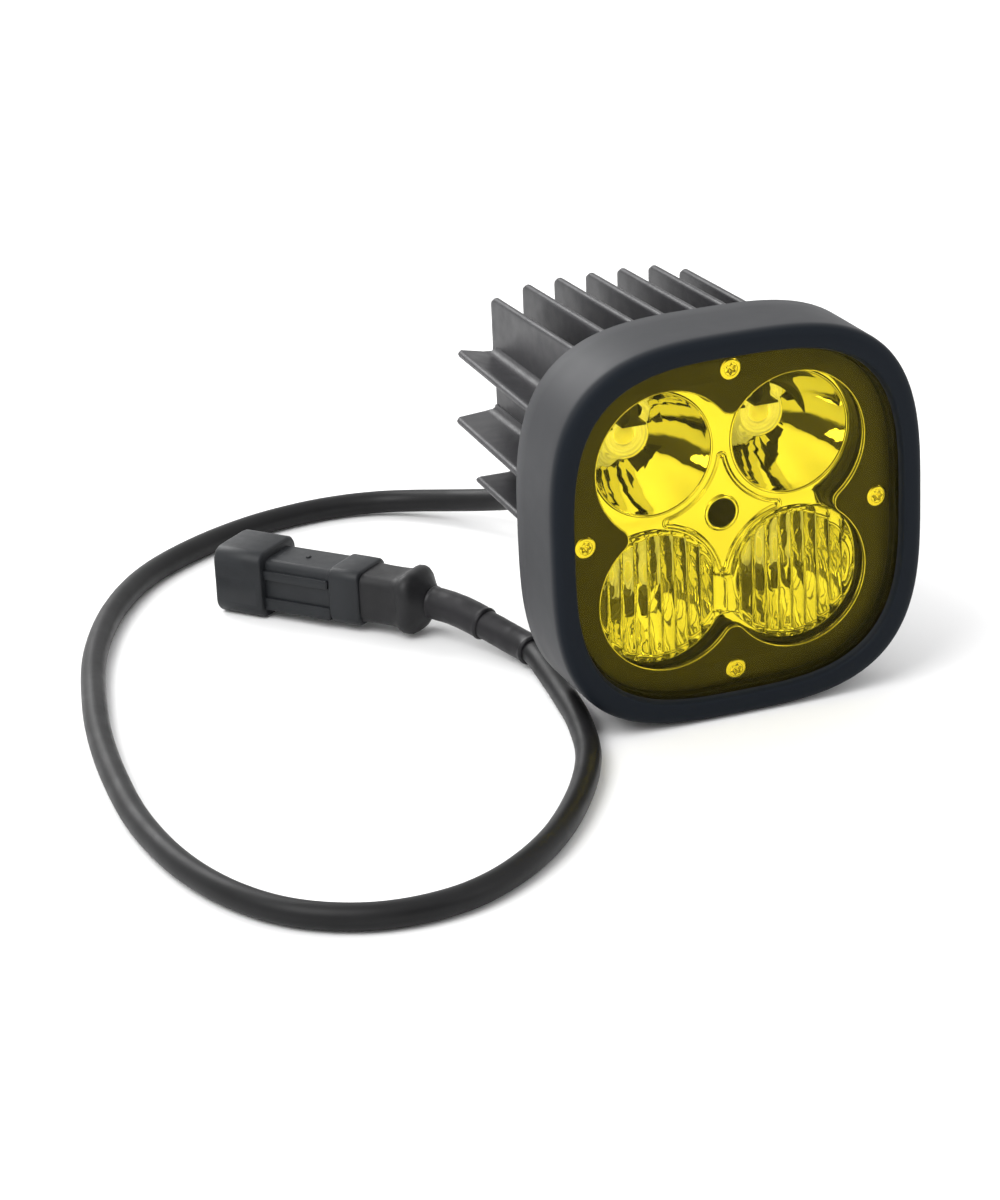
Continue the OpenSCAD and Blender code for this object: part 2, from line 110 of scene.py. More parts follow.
class GuardSettings(bpy.types.PropertyGroup):
    """Sizes and colours of the guard"""
    edge: length("Front edge radius", "Rounding of the ring's front edge", 0.0034)
    colour: tone("Ring colour", "Colour of the moulded ring",
                (0.021, 0.022, 0.025))
    amber: tone("Amber", "Light that one face of the window lets through",
                (1.0, 0.94, 0.42))


class SinkSettings(bpy.types.PropertyGroup):
    """Sizes and colours of the heat sink"""
    fin_thickness: length("Fin thickness", "Thickness of a fin above its root fillet", 0.0022)
    root_fillet: length("Root fillet", "Radius where a fin meets the core", 0.0024)
    colour: tone("Coat colour", "Colour of the powder coat",
                (0.017, 0.0165, 0.019))


class OpticsSettings(bpy.types.PropertyGroup):
    """Sizes of the lamps"""
    flutes: IntProperty(name="Flutes", description="Upright flutes on one side of the wide-beam sheet",
                        default=10, min=6, max=16)
    flute_depth: length("Flute depth", "Height of a flute above the valley beside it", 0.001)
    mirror: tone("Mirror", "Colour of the metallised bowls",
                (0.93, 0.93, 0.92))


class StageSettings(bpy.types.PropertyGroup):
    """Light and floor"""
    key_power: FloatProperty(name="Key light", description="Power of the large soft light, in watts",
                             default=11.0, min=0)
    floor: tone("Floor", "Colour of the floor",
                (0.86, 0.86, 0.86))


SETTINGS = {
    "fog_lead": LeadSettings,
    "fog_guard": GuardSettings,
    "fog_sink": SinkSettings,
    "fog_optics": OpticsSettings,
    "fog_stage": StageSettings,
}


# ---------- materials ----------

class Finish:
    """Builds one node material around a Principled shader."""

    def __init__(self, name, colour, roughness, metallic=0.0, specular=0.5):
        self.material = bpy.data.materials.new(name)
        self.material.use_nodes = True
        self.tree = self.material.node_tree
        self.shader = self.tree.nodes["Principled BSDF"]
        self.shader.inputs["Base Color"].default_value = (*colour, 1)
        self.shader.inputs["Roughness"].default_value = roughness
        self.shader.inputs["Metallic"].default_value = metallic
        self.shader.inputs["Specular IOR Level"].default_value = specular
        self.colour = colour
        self.roughness = roughness
        self.height = None
        coordinates = self.tree.nodes.new("ShaderNodeTexCoord")
        self.place = coordinates.outputs["Object"]

    def set(self, **sockets):
        for socket, value in sockets.items():
            self.shader.inputs[socket.replace("_", " ")].default_value = value
        return self

    def stretched(self, scale):
        node = self.tree.nodes.new("ShaderNodeMapping")
        node.inputs["Scale"].default_value = scale
        self.tree.links.new(self.place, node.inputs["Vector"])
        return node.outputs["Vector"]

    def noise(self, size, detail=2.0, stretch=None, kind="noise"):
        """A pattern whose features are about size millimetres across."""
        if kind == "cells":
            node = self.tree.nodes.new("ShaderNodeTexVoronoi")
            out = node.outputs["Distance"]
        else:
            node = self.tree.nodes.new("ShaderNodeTexNoise")
            node.inputs["Detail"].default_value = detail
            out = node.outputs["Fac"]
        node.inputs["Scale"].default_value = 1 / (size * MM)
        self.tree.links.new(self.stretched(stretch) if stretch else self.place, node.inputs["Vector"])
        return out

    def ranged(self, value, from_low, from_high, low, high):
        node = self.tree.nodes.new("ShaderNodeMapRange")
        limits = {"From Min": from_low, "From Max": from_high, "To Min": low, "To Max": high}
        for socket, number in limits.items():
            node.inputs[socket].default_value = number
        self.tree.links.new(value, node.inputs["Value"])
        return node.outputs["Result"]

    def mottle(self, size, amount, detail=3.0, tint=None, stretch=None):
        """Slow change of colour between a darker and a lighter tone."""
        ramp = self.tree.nodes.new("ShaderNodeValToRGB")
        light = tint or [min(1.0, c * (1 + amount)) for c in self.colour]
        ramp.color_ramp.elements[0].color = (*[c * (1 - amount) for c in self.colour], 1)
        ramp.color_ramp.elements[1].color = (*light, 1)
        ramp.color_ramp.elements[0].position = 0.3
        ramp.color_ramp.elements[1].position = 0.7
        self.tree.links.new(self.noise(size, detail, stretch), ramp.inputs["Fac"])
        self.tree.links.new(ramp.outputs["Color"], self.shader.inputs["Base Color"])
        return self

    def uneven_gloss(self, size, amount, stretch=None):
        value = self.ranged(self.noise(size, 4.0, stretch), 0.3, 0.7,
                            max(0.0, self.roughness - amount), min(1.0, self.roughness + amount))
        self.tree.links.new(value, self.shader.inputs["Roughness"])
        return self

    def grain(self, size, depth, kind="noise", detail=2.0, stretch=None):
        """Fine relief: features of size millimetres, depth millimetres high."""
        bump = self.tree.nodes.new("ShaderNodeBump")
        bump.inputs["Strength"].default_value = 1.0
        bump.inputs["Distance"].default_value = depth * MM
        self.tree.links.new(self.noise(size, detail, stretch, kind), bump.inputs["Height"])
        if self.height:
            self.tree.links.new(self.height, bump.inputs["Normal"])
        self.height = bump.outputs["Normal"]
        self.tree.links.new(self.height, self.shader.inputs["Normal"])
        return self

    def done(self):
        return self.material


def clear_pane(name, tint, gloss=0.02, index=1.45):
    """A thin clear pane: lets light through with a tint, and reflects by Fresnel."""
    material = bpy.data.materials.new(name)
    material.use_nodes = True
    tree = material.node_tree
    tree.nodes.clear()
    out = tree.nodes.new("ShaderNodeOutputMaterial")
    mix = tree.nodes.new("ShaderNodeMixShader")
    through = tree.nodes.new("ShaderNodeBsdfTransparent")
    shine = tree.nodes.new("ShaderNodeBsdfGlossy")
    fresnel = tree.nodes.new("ShaderNodeFresnel")
    through.inputs["Color"].default_value = (*tint, 1)
    shine.inputs["Roughness"].default_value = gloss
    fresnel.inputs["IOR"].default_value = index
    tree.links.new(fresnel.outputs["Fac"], mix.inputs["Fac"])
    tree.links.new(through.outputs["BSDF"], mix.inputs[1])
    tree.links.new(shine.outputs["BSDF"], mix.inputs[2])
    tree.links.new(mix.outputs["Shader"], out.inputs["Surface"])
    return material


def guard_plastic_painted_shade():
    """Moulded plastic with painted shade: its front face is painted a darker, bluer tone than its side, with less
    specular.
    """
    colour = bpy.context.scene.fog_guard.colour
    finish = Finish("guard_plastic_painted_shade", colour, 0.55, specular=0.34).mottle(14, 0.06).uneven_gloss(7, 0.02)
    parts = finish.tree.nodes.new("ShaderNodeSeparateXYZ")
    finish.tree.links.new(finish.place, parts.inputs["Vector"])
    # painted shade: between 1 and 4.2 mm behind the ring's front, the colour goes from a dark bluish tone to the ring's
    # own colour, and the specular rises with it
    face, wall = (FRONT + NOSE + 1.0) * MM, (FRONT + NOSE + 4.2) * MM
    shine = finish.ranged(parts.outputs["Y"], face, wall, 0.09, 0.34)
    finish.tree.links.new(shine, finish.shader.inputs["Specular IOR Level"])
    tone = finish.tree.nodes.new("ShaderNodeMix")
    tone.data_type = "RGBA"
    finish.tree.links.new(finish.ranged(parts.outputs["Y"], face, wall, 0.0, 1.0), tone.inputs["Factor"])
    tone.inputs["A"].default_value = (0.007, 0.0095, 0.0135, 1)
    finish.tree.links.new(finish.shader.inputs["Base Color"].links[0].from_socket, tone.inputs["B"])
    finish.tree.links.new(tone.outputs["Result"], finish.shader.inputs["Base Color"])
    return finish.grain(0.35, 0.006).done()


def powder_coat():
    colour = bpy.context.scene.fog_sink.colour
    return (Finish("powder_coat", colour, 0.42, specular=0.34)
            .mottle(9, 0.12).uneven_gloss(5, 0.05).grain(0.45, 0.014, kind="cells").grain(0.2, 0.006).done())


def jacket():
    return (Finish("lead_jacket", (0.0075, 0.0075, 0.008), 0.45, specular=0.2)
            .mottle(12, 0.2).uneven_gloss(9, 0.05).grain(1.4, 0.012).grain(0.3, 0.004).done())


def shrink_tube():
    return (Finish("shrink_tube", (0.01, 0.0095, 0.011), 0.42, specular=0.26)
            .mottle(7, 0.2).uneven_gloss(4, 0.06).grain(2.6, 0.025).grain(0.4, 0.005).done())


def boot_rubber():
    return (Finish("boot_rubber", (0.011, 0.011, 0.012), 0.48, specular=0.26)
            .mottle(5, 0.15).uneven_gloss(4, 0.05).grain(0.5, 0.008).done())


def shell_nylon():
    return (Finish("shell_nylon", (0.012, 0.0135, 0.0155), 0.46, specular=0.28)
            .mottle(6, 0.15).uneven_gloss(3, 0.05).grain(0.25, 0.006).grain(3.0, 0.012).done())


def plate_paint():
    return (Finish("plate_paint", (0.03, 0.03, 0.031), 0.4, specular=0.32)
            .mottle(11, 0.06).uneven_gloss(9, 0.03).done())


def chrome():
    colour = bpy.context.scene.fog_optics.mirror
    return (Finish("mirror_bowl", colour, 0.03, metallic=1.0)
            .mottle(8, 0.02).grain(5.5, 0.09, detail=1.5).done())


def lamp_glass():
    finish = Finish("fluted_glass", (1, 1, 1), 0.01, specular=0.5)
    finish.set(Transmission_Weight=1.0, IOR=1.46)
    return finish.grain(1.6, 0.02, detail=2.0, stretch=(1.0, 1.0, 0.35)).done()


def painted_glow(name, colour, roughness, metallic, strength):
    """A finish that glows faintly in its own colour: painted light that brightens parts deep in the bowls."""
    finish = Finish(name, colour, roughness, metallic)
    # painted light: the surface glows in its own colour
    finish.set(Emission_Color=(*colour, 1), Emission_Strength=strength)
    return finish.mottle(2, 0.08).uneven_gloss(2, 0.03).done()


def steel():
    return (Finish("screw_steel", (0.8, 0.78, 0.72), 0.17, metallic=1.0)
            .mottle(3, 0.05).uneven_gloss(2, 0.03).done())


def plain(name, colour, roughness, metallic=0.0, size=3.0, depth=0.012):
    """A simple moulded or machined finish with fine mottling and relief."""
    return (Finish(name, colour, roughness, metallic)
            .mottle(size, 0.15).uneven_gloss(size, 0.06).grain(size / 6, depth).done())


# ---------- mesh building ----------

class Shape:
    """Collects points in millimetres and faces, and turns them into one piece."""

    def __init__(self):
        self.points = []
        self.faces = []

    def ring(self, points):
        start = len(self.points)
        self.points.extend(points)
        return list(range(start, start + len(points)))

    def bridge(self, a, b):
        count = len(a)
        for k in range(count):
            m = (k + 1) % count
            self.faces.append((a[k], a[m], b[m], b[k]))

    def loft(self, rings, start=True, end=True):
        """Skins a row of closed rings that have the same number of points."""
        made = [self.ring(r) for r in rings]
        for a, b in zip(made, made[1:]):
            self.bridge(a, b)
        if start:
            self.faces.append(tuple(reversed(made[0])))
        if end:
            self.faces.append(tuple(made[-1]))
        return made

    def lathe(self, profile, x, z, steps=64, start=False, end=False):
        """Turns (radius, depth) pairs about an axis that runs straight back."""
        self.loft([circle(r, d, x, z, steps) for r, d in profile], start, end)

    def piece(self, name, material, body, slot, nodes=(), sharp=32):
        mesh = bpy.data.meshes.new(name)
        mesh.from_pydata([Vector(p) * MM for p in self.points], [], self.faces)
        return dress(name, mesh, material, body, nodes, sharp)


def dress(name, mesh, material, body, nodes=(), sharp=32):
    """Puts a mesh on its body with its finish, and hides the nodes it stands for."""
    work = bmesh.new()
    work.from_mesh(mesh)
    bmesh.ops.recalc_face_normals(work, faces=work.faces)
    work.to_mesh(mesh)
    work.free()
    mesh.shade_smooth()
    mesh.set_sharp_from_angle(angle=math.radians(sharp))
    mesh.materials.clear()
    mesh.materials.append(material)
    piece = bpy.data.objects.new(name, mesh)
    bpy.context.scene.collection.objects.link(piece)
    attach(piece, body)
    if nodes:
        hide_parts(*nodes)
    return piece


def add_bevel(piece, width, segments=3, angle=40):
    bevel = piece.modifiers.new("edges", "BEVEL")
    bevel.width = width * MM
    bevel.segments = segments
    bevel.limit_method = "ANGLE"
    bevel.angle_limit = math.radians(angle)
    bevel.harden_normals = False
    return bevel


def squircle(half, depth, count=192, power=RING_POWER):
    ring = []
    for i in range(count):
        t = 2 * math.pi * i / count
        c, s = math.cos(t), math.sin(t)
        ring.append((half * math.copysign(abs(c) ** (2 / power), c), FRONT + depth,
                     AXIS + half * math.copysign(abs(s) ** (2 / power), s)))
    return ring


def circle(r, depth, x=0.0, z=0.0, steps=64):
    turns = [2 * math.pi * k / steps for k in range(steps)]
    return [(x + r * math.cos(t), FRONT + depth, AXIS + z + r * math.sin(t)) for t in turns]


# Clover: offset of its lobes' middles from the centre, and their radius
LAMP = 18.6
LOBE = 20.8
# Offset of each bowl from the centre
BOWL = 20.0


def clover(r, fillet, depth, lobe_steps=40, valley_steps=12):
    """Outline of four overlapping round lobes with filleted valleys."""
    rise = math.sqrt((r + fillet) ** 2 - LAMP ** 2)
    lean = math.atan2(rise, LAMP)
    quarter = []
    for i in range(lobe_steps + 1):
        a = lean - math.pi / 2 + i * (1.5 * math.pi - 2 * lean) / lobe_steps
        quarter.append((LAMP + r * math.cos(a), LAMP + r * math.sin(a)))
    for i in range(1, valley_steps):
        a = -lean - i * (math.pi - 2 * lean) / valley_steps
        quarter.append((fillet * math.cos(a), LAMP + rise + fillet * math.sin(a)))
    ring = []
    for q in range(4):
        c, s = math.cos(q * math.pi / 2), math.sin(q * math.pi / 2)
        ring.extend((x * c - z * s, FRONT + depth, AXIS + x * s + z * c) for x, z in quarter)
    return ring


def sheet_with_holes(outline, holes, depth, thickness, edge):
    """Flat plate at a depth, cut by an outline and holes, with rounded edges. Returns a mesh."""
    data = bpy.data.curves.new("plate_outline", "CURVE")
    data.dimensions = "2D"
    data.fill_mode = "BOTH"
    data.extrude = (thickness / 2 - edge) * MM
    data.bevel_depth = edge * MM
    data.bevel_resolution = 2
    data.offset = -edge * MM
    for loop in [outline, *holes]:
        spline = data.splines.new("POLY")
        spline.points.add(len(loop) - 1)
        for point, (x, _, z) in zip(spline.points, loop):
            point.co = (x * MM, z * MM, 0, 1)
        spline.use_cyclic_u = True
    holder = bpy.data.objects.new("plate_outline", data)
    bpy.context.scene.collection.objects.link(holder)
    bpy.context.view_layer.update()
    mesh = bpy.data.meshes.new_from_object(holder.evaluated_get(bpy.context.evaluated_depsgraph_get()))
    bpy.data.objects.remove(holder)
    # the outline was drawn flat: stand it up at its depth
    mesh.transform(Matrix.Translation((0, (FRONT + depth + thickness / 2) * MM, 0)) @
                   Matrix.Rotation(math.pi / 2, 4, "X"))
    work = bmesh.new()
    work.from_mesh(mesh)
    bmesh.ops.remove_doubles(work, verts=work.verts, dist=0.002 * MM)
    work.to_mesh(mesh)
    work.free()
    return mesh


# ---------- the lead's route ----------

ROUTE = [(x * MM, y * MM, z * MM) for x, y, z in [
    (0, 29, 36), (0, 38, 36), (0, 50, 34.5), (0, 62, 31.5), (-0.5, 74, 26.5), (-1.5, 86, 20.5),
    (-3.5, 98, 15), (-6.7, 109.4, 11), (-12.3, 119.9, 8.2), (-19.3, 129.4, 6.2), (-27.5, 138, 4.7), (-36.5, 143.8, 3.9),
    (-48, 146.8, 3.55), (-62, 146.5, 3.5), (-79.5, 142.3, 3.5), (-98.5, 133.2, 3.5), (-116.7, 119.9, 3.5),
    (-130, 104.5, 3.5), (-141.5, 85, 3.5), (-151.5, 61, 3.5), (-158.7, 35.5, 3.5), (-164.6, 8, 3.5),
    (-168.5, -22, 3.5), (-170, -52, 3.5), (-167.2, -80.3, 3.5), (-160, -102.5, 3.5), (-149, -118, 3.5),
    (-133, -127.2, 3.5), (-115, -128.3, 3.5), (-98, -122, 3.5), (-80, -107.7, 3.5), (-64, -87.3, 3.5),
    (-52, -65.5, 3.5), (-45.4, -43.7, 3.5), (-42.2, -25, 3.6), (-40.2, -7.8, 4.2), (-39.4, 5.3, 4.9),
    (-42.2, 14.3, 6), (-46.3, 23.4, 7.8), (-50.8, 32.3, 9.6), (-56, 41, 10.25)]]
SMALL_SLEEVE_FROM = 4
LARGE_SLEEVE_FROM = 2


def along(u):
    """Point of the smooth curve through the route, at whole and fractional route numbers."""
    last = len(ROUTE) - 1
    i = min(int(u), last - 1)
    t = u - i
    a, b, c, d = (Vector(ROUTE[max(0, min(last, k))]) for k in (i - 1, i, i + 1, i + 2))
    return 0.5 * (2 * b + (c - a) * t + (2 * a - 5 * b + 4 * c - d) * t * t
                  + (3 * b - a - 3 * c + d) * t ** 3)


def hoop(u, radius, steps):
    """Ring of points square to the route, in millimetres."""
    centre = along(u) / MM
    ahead = (along(min(u + 0.02, len(ROUTE) - 1)) - along(max(u - 0.02, 0))).normalized()
    side = ahead.cross(Vector((0, 0, 1))).normalized()
    up = side.cross(ahead)
    return [tuple(centre + (radius(k / steps) if callable(radius) else radius) *
                  (math.cos(2 * math.pi * k / steps) * side + math.sin(2 * math.pi * k / steps) * up))
            for k in range(steps)]


# ---------- camera ----------

class FOG_OT_camera(bpy.types.Operator):
    """Place the camera a little above and to the left of the light's front"""
    bl_idname = "fog.camera"
    bl_label = "Camera"

    azimuth = math.radians(-20.362)
    elevation = math.radians(21.744)
    roll = math.radians(2.583)
    distance = 938.25
    shift = (62.22, 20.99)
    lens = 105.493

    def execute(self, context):
        a, e = self.azimuth, self.elevation
        back = Vector((math.sin(a) * math.cos(e), -math.cos(a) * math.cos(e), math.sin(e)))
        right = Vector((math.cos(a), math.sin(a), 0))
        up = back.cross(right)
        c, s = math.cos(self.roll), math.sin(self.roll)
        right, up = c * right - s * up, s * right + c * up
        plate = Vector((0, FRONT + depths("retainer_plate")[0], AXIS))
        data = bpy.data.cameras.new("camera")
        data.lens = self.lens
        data.sensor_width = 36
        data.clip_start = 0.05
        data.clip_end = 20
        camera = bpy.data.objects.new("camera", data)
        context.scene.collection.objects.link(camera)
        place = (plate - self.shift[0] * right - self.shift[1] * up + self.distance * back) * MM
        turn = Matrix((right, up, back)).transposed().to_4x4()
        camera.matrix_world = Matrix.Translation(place) @ turn
        context.scene.camera = camera
        return {"FINISHED"}


# ---------- lead, sleeves and connector ----------

CONN_AT = Vector((-56, 41, 10.25))
CONN_TURN = math.radians(130)
# Stations along the connector, from the lead to the mouth
SHELL, RAIL, COLLAR, MOUTH = 20.0, 30.0, 52.0, 68.0
# Rails on the shell's sides: lower edge, upper edge and how far out each one reaches
RAILS = [(1.9, 4.7, 8.35), (-7.5, -3.7, 8.3)]


def plugged(points):
    """Moves points from the connector's own axes to where it lies."""
    turn = Matrix.Rotation(CONN_TURN, 3, "Z")
    return [tuple(CONN_AT + turn @ Vector(p)) for p in points]


def bar(x, width, height, radius, steps=6, bulge=0.0):
    """Rounded rectangle square to the connector's axis."""
    ring = []
    a, b = width / 2, height / 2
    for q in range(4):
        cy = (a - radius) * (1 if q in (0, 3) else -1)
        cz = (b - radius) * (1 if q < 2 else -1)
        for s in range(steps + 1):
            t = math.radians(90 * q + 90 * s / steps)
            ring.append((x, cy + radius * math.cos(t), cz + radius * math.sin(t)))
    if bulge:
        ring = [(x, y * (1 + bulge * (1 - (z / b) ** 2)), z * (1 + bulge * (1 - (y / a) ** 2)))
                for x, y, z in ring]
    return plugged(ring)


class FOG_OT_lead(bpy.types.Operator):
    """Build the round lead, its two heat-shrink sleeves and the sealed connector"""
    bl_idname = "fog.lead"
    bl_label = "Lead and connector"

    def execute(self, context):
        settings = context.scene.fog_lead
        lead = self.lead(settings)
        small = self.sleeve("sleeve_small_skin", len(ROUTE) - 1 - SMALL_SLEEVE_FROM,
                            len(ROUTE) - 1 - LARGE_SLEEVE_FROM + 0.25, settings.small_sleeve / MM,
                            settings.diameter / MM / 2, "sleeve_small", 3)
        large = self.sleeve("sleeve_large_skin", len(ROUTE) - 1 - LARGE_SLEEVE_FROM,
                            len(ROUTE) - 1.0, settings.large_sleeve / MM,
                            settings.small_sleeve / MM, "sleeve_large", 8)
        boot = self.boot()
        shell = self.shell()
        lock = self.lock()
        return {"FINISHED"}

    def lead(self, settings):
        data = bpy.data.curves.new("lead_jacket", "CURVE")
        data.dimensions = "3D"
        data.bevel_depth = settings.diameter / 2
        data.bevel_resolution = 10
        data.resolution_u = 12
        data.use_fill_caps = True
        spline = data.splines.new("BEZIER")
        spline.bezier_points.add(len(ROUTE) - 1)
        for i, point in enumerate(spline.bezier_points):
            here = Vector(ROUTE[i])
            reach = (Vector(ROUTE[min(i + 1, len(ROUTE) - 1)]) - Vector(ROUTE[max(i - 1, 0)])) / 6
            point.co = here
            point.handle_left_type = point.handle_right_type = "FREE"
            point.handle_left = here - reach
            point.handle_right = here + reach
        data.materials.append(jacket())
        lead = bpy.data.objects.new("lead_jacket", data)
        bpy.context.scene.collection.objects.link(lead)
        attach(lead, "light")
        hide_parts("lead")
        return lead

    def sleeve(self, name, u0, u1, radius, inside, node, seed):
        """A shrunk tube: rolled ends, and a skin that dips a little where it gripped the lead."""
        shape = Shape()
        steps, rows = 40, 48
        length = (along(u1) - along(u0)).length / MM
        rings = [hoop(u0, inside + 0.02, steps)]
        for i in range(rows + 1):
            share = i / rows
            place = share * length
            ends = min(place, length - place)
            lip = 0.16 * math.exp(-((ends - 0.9) / 0.5) ** 2)
            drop = max(0.0, 0.35 - ends) * 0.9

            def skin(k, place=place, lip=lip, drop=drop, ends=ends):
                a = 2 * math.pi * k
                dent = noise.noise(Vector((place * 0.42, 1.3 * math.cos(a) + seed, 1.3 * math.sin(a))))
                hold = min(1.0, ends / 1.5)
                return radius + lip - drop + 0.07 * dent * hold - 0.06

            rings.append(hoop(u0 + (u1 - u0) * share, skin, steps))
        rings.append(hoop(u1, inside + 0.02, steps))
        shape.loft(rings, start=True, end=True)
        return shape.piece(name, shrink_tube(), "light", "sleeve_black", [node], sharp=50)

    def boot(self):
        """Soft boot: a cone on the lead, a rolled bead and a squarish sleeve over the shell's tail."""
        shape = Shape()
        rings = [bar(*station) for station in (
            (0.0, 9.7, 9.7, 4.84), (0.35, 10.6, 10.6, 5.28), (1.2, 12.2, 12.2, 6.0), (2.2, 14.2, 14.4, 6.6),
            (3.0, 15.8, 16.4, 6.8), (3.6, 16.9, 17.8, 6.6), (4.4, 17.5, 18.5, 6.2), (5.4, 17.6, 18.6, 5.8),
            (6.4, 17.3, 18.2, 5.2), (7.2, 16.6, 17.3, 4.6), (7.9, 15.5, 16.1, 4.0), (8.7, 14.8, 15.3, 3.6),
            (10.0, 14.5, 14.9, 3.3), (13.0, 14.3, 14.7, 3.1), (16.5, 14.3, 14.7, 3.0),
            (19.0, 14.5, 14.9, 3.0), (20.6, 14.6, 15.0, 3.0))]
        shape.loft(rings)
        return shape.piece("connector_boot_skin", boot_rubber(), "light", "boot_black",
                           ["connector_boot"], sharp=60)

    def shell(self):
        shape = Shape()
        # tail ring, then the body up to the collar
        shape.loft([bar(*station) for station in (
            (SHELL, 15.2, 15.6, 3.0), (SHELL + 0.25, 16.0, 16.4, 3.0), (SHELL + 0.8, 16.5, 16.9, 3.0),
            (SHELL + 5, 16.6, 17.0, 3.0), (RAIL - 0.9, 16.6, 17.0, 3.0), (RAIL - 0.3, 16.3, 16.7, 2.9),
            (RAIL, 15.8, 16.2, 2.8), (RAIL + 0.05, 15.0, 15.5, 2.1), (COLLAR + 1.5, 14.8, 15.4, 2.0))])
        self.collar(shape)
        for side in (-1, 1):
            for low, high, proud in RAILS:
                self.rail(shape, side, low, high, proud)
            self.panel(shape, side)
        self.pip(shape)
        return shape.piece("connector_shell_skin", shell_nylon(), "light", "shell_black",
                           ["connector_shell"], sharp=38)

    def collar(self, shape):
        """Square hood round the mouth, open at its end down to the seal."""
        s, lip = 20.5, 1.7
        outer = [(COLLAR, s - 1.4, 3.6), (COLLAR + 0.25, s - 0.6, 3.9), (COLLAR + 0.8, s, 4.0),
                 (MOUTH - 0.9, s, 4.0), (MOUTH - 0.3, s - 0.5, 3.8), (MOUTH, s - 1.1, 3.6)]
        well = s - 2 * lip
        inner = [(MOUTH - 0.05, well + 0.5, 2.9), (MOUTH - 0.6, well, 2.6), (COLLAR + 1.0, well, 2.6)]
        rings = [bar(x, w, w, r) for x, w, r in outer + inner]
        shape.loft([bar(COLLAR, 13.0, 13.0, 2.0)] + rings, start=False, end=True)

    def block(self, shape, x0, x1, y0, y1, z0, z1, edge=0.3):
        """A bar along the connector with softened edges."""
        def section(x, grow):
            a, b = (y1 - y0) / 2 - grow, (z1 - z0) / 2 - grow
            cy, cz = (y0 + y1) / 2, (z0 + z1) / 2
            e = edge
            f = e * 0.3
            return plugged([(x, cy + dy, cz + dz) for dy, dz in (
                (a, b - e), (a - f, b - f), (a - e, b), (e - a, b), (f - a, b - f), (-a, b - e),
                (-a, e - b), (f - a, f - b), (e - a, -b), (a - e, -b), (a - f, f - b), (a, e - b))])

        shape.loft([section(x0, edge * 0.8), section(x0 + edge, 0),
                    section(x1 - edge, 0), section(x1, edge * 0.8)])

    def rail(self, shape, side, low, high, proud):
        inner, outer = sorted((side * 6.6, side * proud))
        self.block(shape, RAIL - 0.2 if low < 0 else RAIL + 0.4, COLLAR + 6.5, inner, outer, low, high)

    def panel(self, shape, side):
        """Low raised field on the collar's side, below the rail's line."""
        inner, outer = sorted((side * 9.5, side * 10.28))
        self.block(shape, COLLAR + 1.6, MOUTH - 1.4, inner, outer, -6.0, 2.0, 0.18)

    def pip(self, shape):
        self.block(shape, 40.6, 41.9, -0.8, 0.8, 7.3, 8.15, 0.25)

    def lock(self):
        """The lock inside the mouth: a rounded square block whose front is rounded and set back a little."""
        shape = Shape()
        shape.loft([bar(COLLAR + x, width, width, radius) for x, width, radius in (
            (-4, 9.6, 1.9), (4.2, 9.6, 1.9), (4.8, 9.2, 1.8), (5.0, 8.6, 1.6), (4.4, 7.6, 1.4))])
        return shape.piece("connector_lock", plain("lock_nylon", (0.2, 0.21, 0.22), 0.45), "light",
                           "wedge_grey", ["connector_wedge"])


# ---------- guard ----------

class FOG_OT_guard(bpy.types.Operator):
    """Build the moulded ring and the amber window that pull off together"""
    bl_idname = "fog.guard"
    bl_label = "Guard"

    def execute(self, context):
        settings = context.scene.fog_guard
        edge = settings.edge / MM
        opening, pocket = 47.4, half_width("amber_window") + 0.05
        inside = HALF - 2.2
        seat = depths("amber_window")[0] - NOSE
        back = GUARD_DEPTH
        profile = [(inside, back - 0.5), (inside + 0.15, back - 0.15), (inside + 0.5, back),
                   (HALF - 0.55, back), (HALF - 0.16, back - 0.16), (HALF, back - 0.55), (HALF, back - 6),
                   (HALF, back / 2), (HALF, edge + 3)]
        for i in range(11):
            t = math.radians(90 * i / 10)
            profile.append((HALF - edge + edge * math.cos(t) ** 0.9, edge - edge * math.sin(t) ** 0.9))
        lip = 0.9
        for i in range(7):
            t = math.radians(90 * i / 6)
            profile.append((opening + 0.5 + lip - lip * math.sin(t), lip - lip * math.cos(t)))
        profile += [(opening + 0.2, 1.6), (opening, seat - 0.1), (opening, seat), (pocket, seat),
                    (pocket, 7.5), (inside, 7.5), (inside, 12), (inside, back - 0.5)]
        shape = Shape()
        shape.loft([squircle(a, d + NOSE) for a, d in profile], start=False, end=False)
        shape.piece("guard_ring", guard_plastic_painted_shade(), "guard", "guard_black", ["guard_frame"], sharp=50)

        front, rear = depths("amber_window")
        half = half_width("amber_window")
        pane = Shape()
        pane.loft([squircle(half - 0.2, front), squircle(half, front + 0.2),
                   squircle(half, rear - 0.2), squircle(half - 0.2, rear)])
        pane.piece("amber_pane", clear_pane("amber_pane", settings.amber, index=1.16), "guard", "amber",
                   ["amber_window"])
        return {"FINISHED"}


# ---------- front plate, screws, lens ----------

SCREW = 42.75


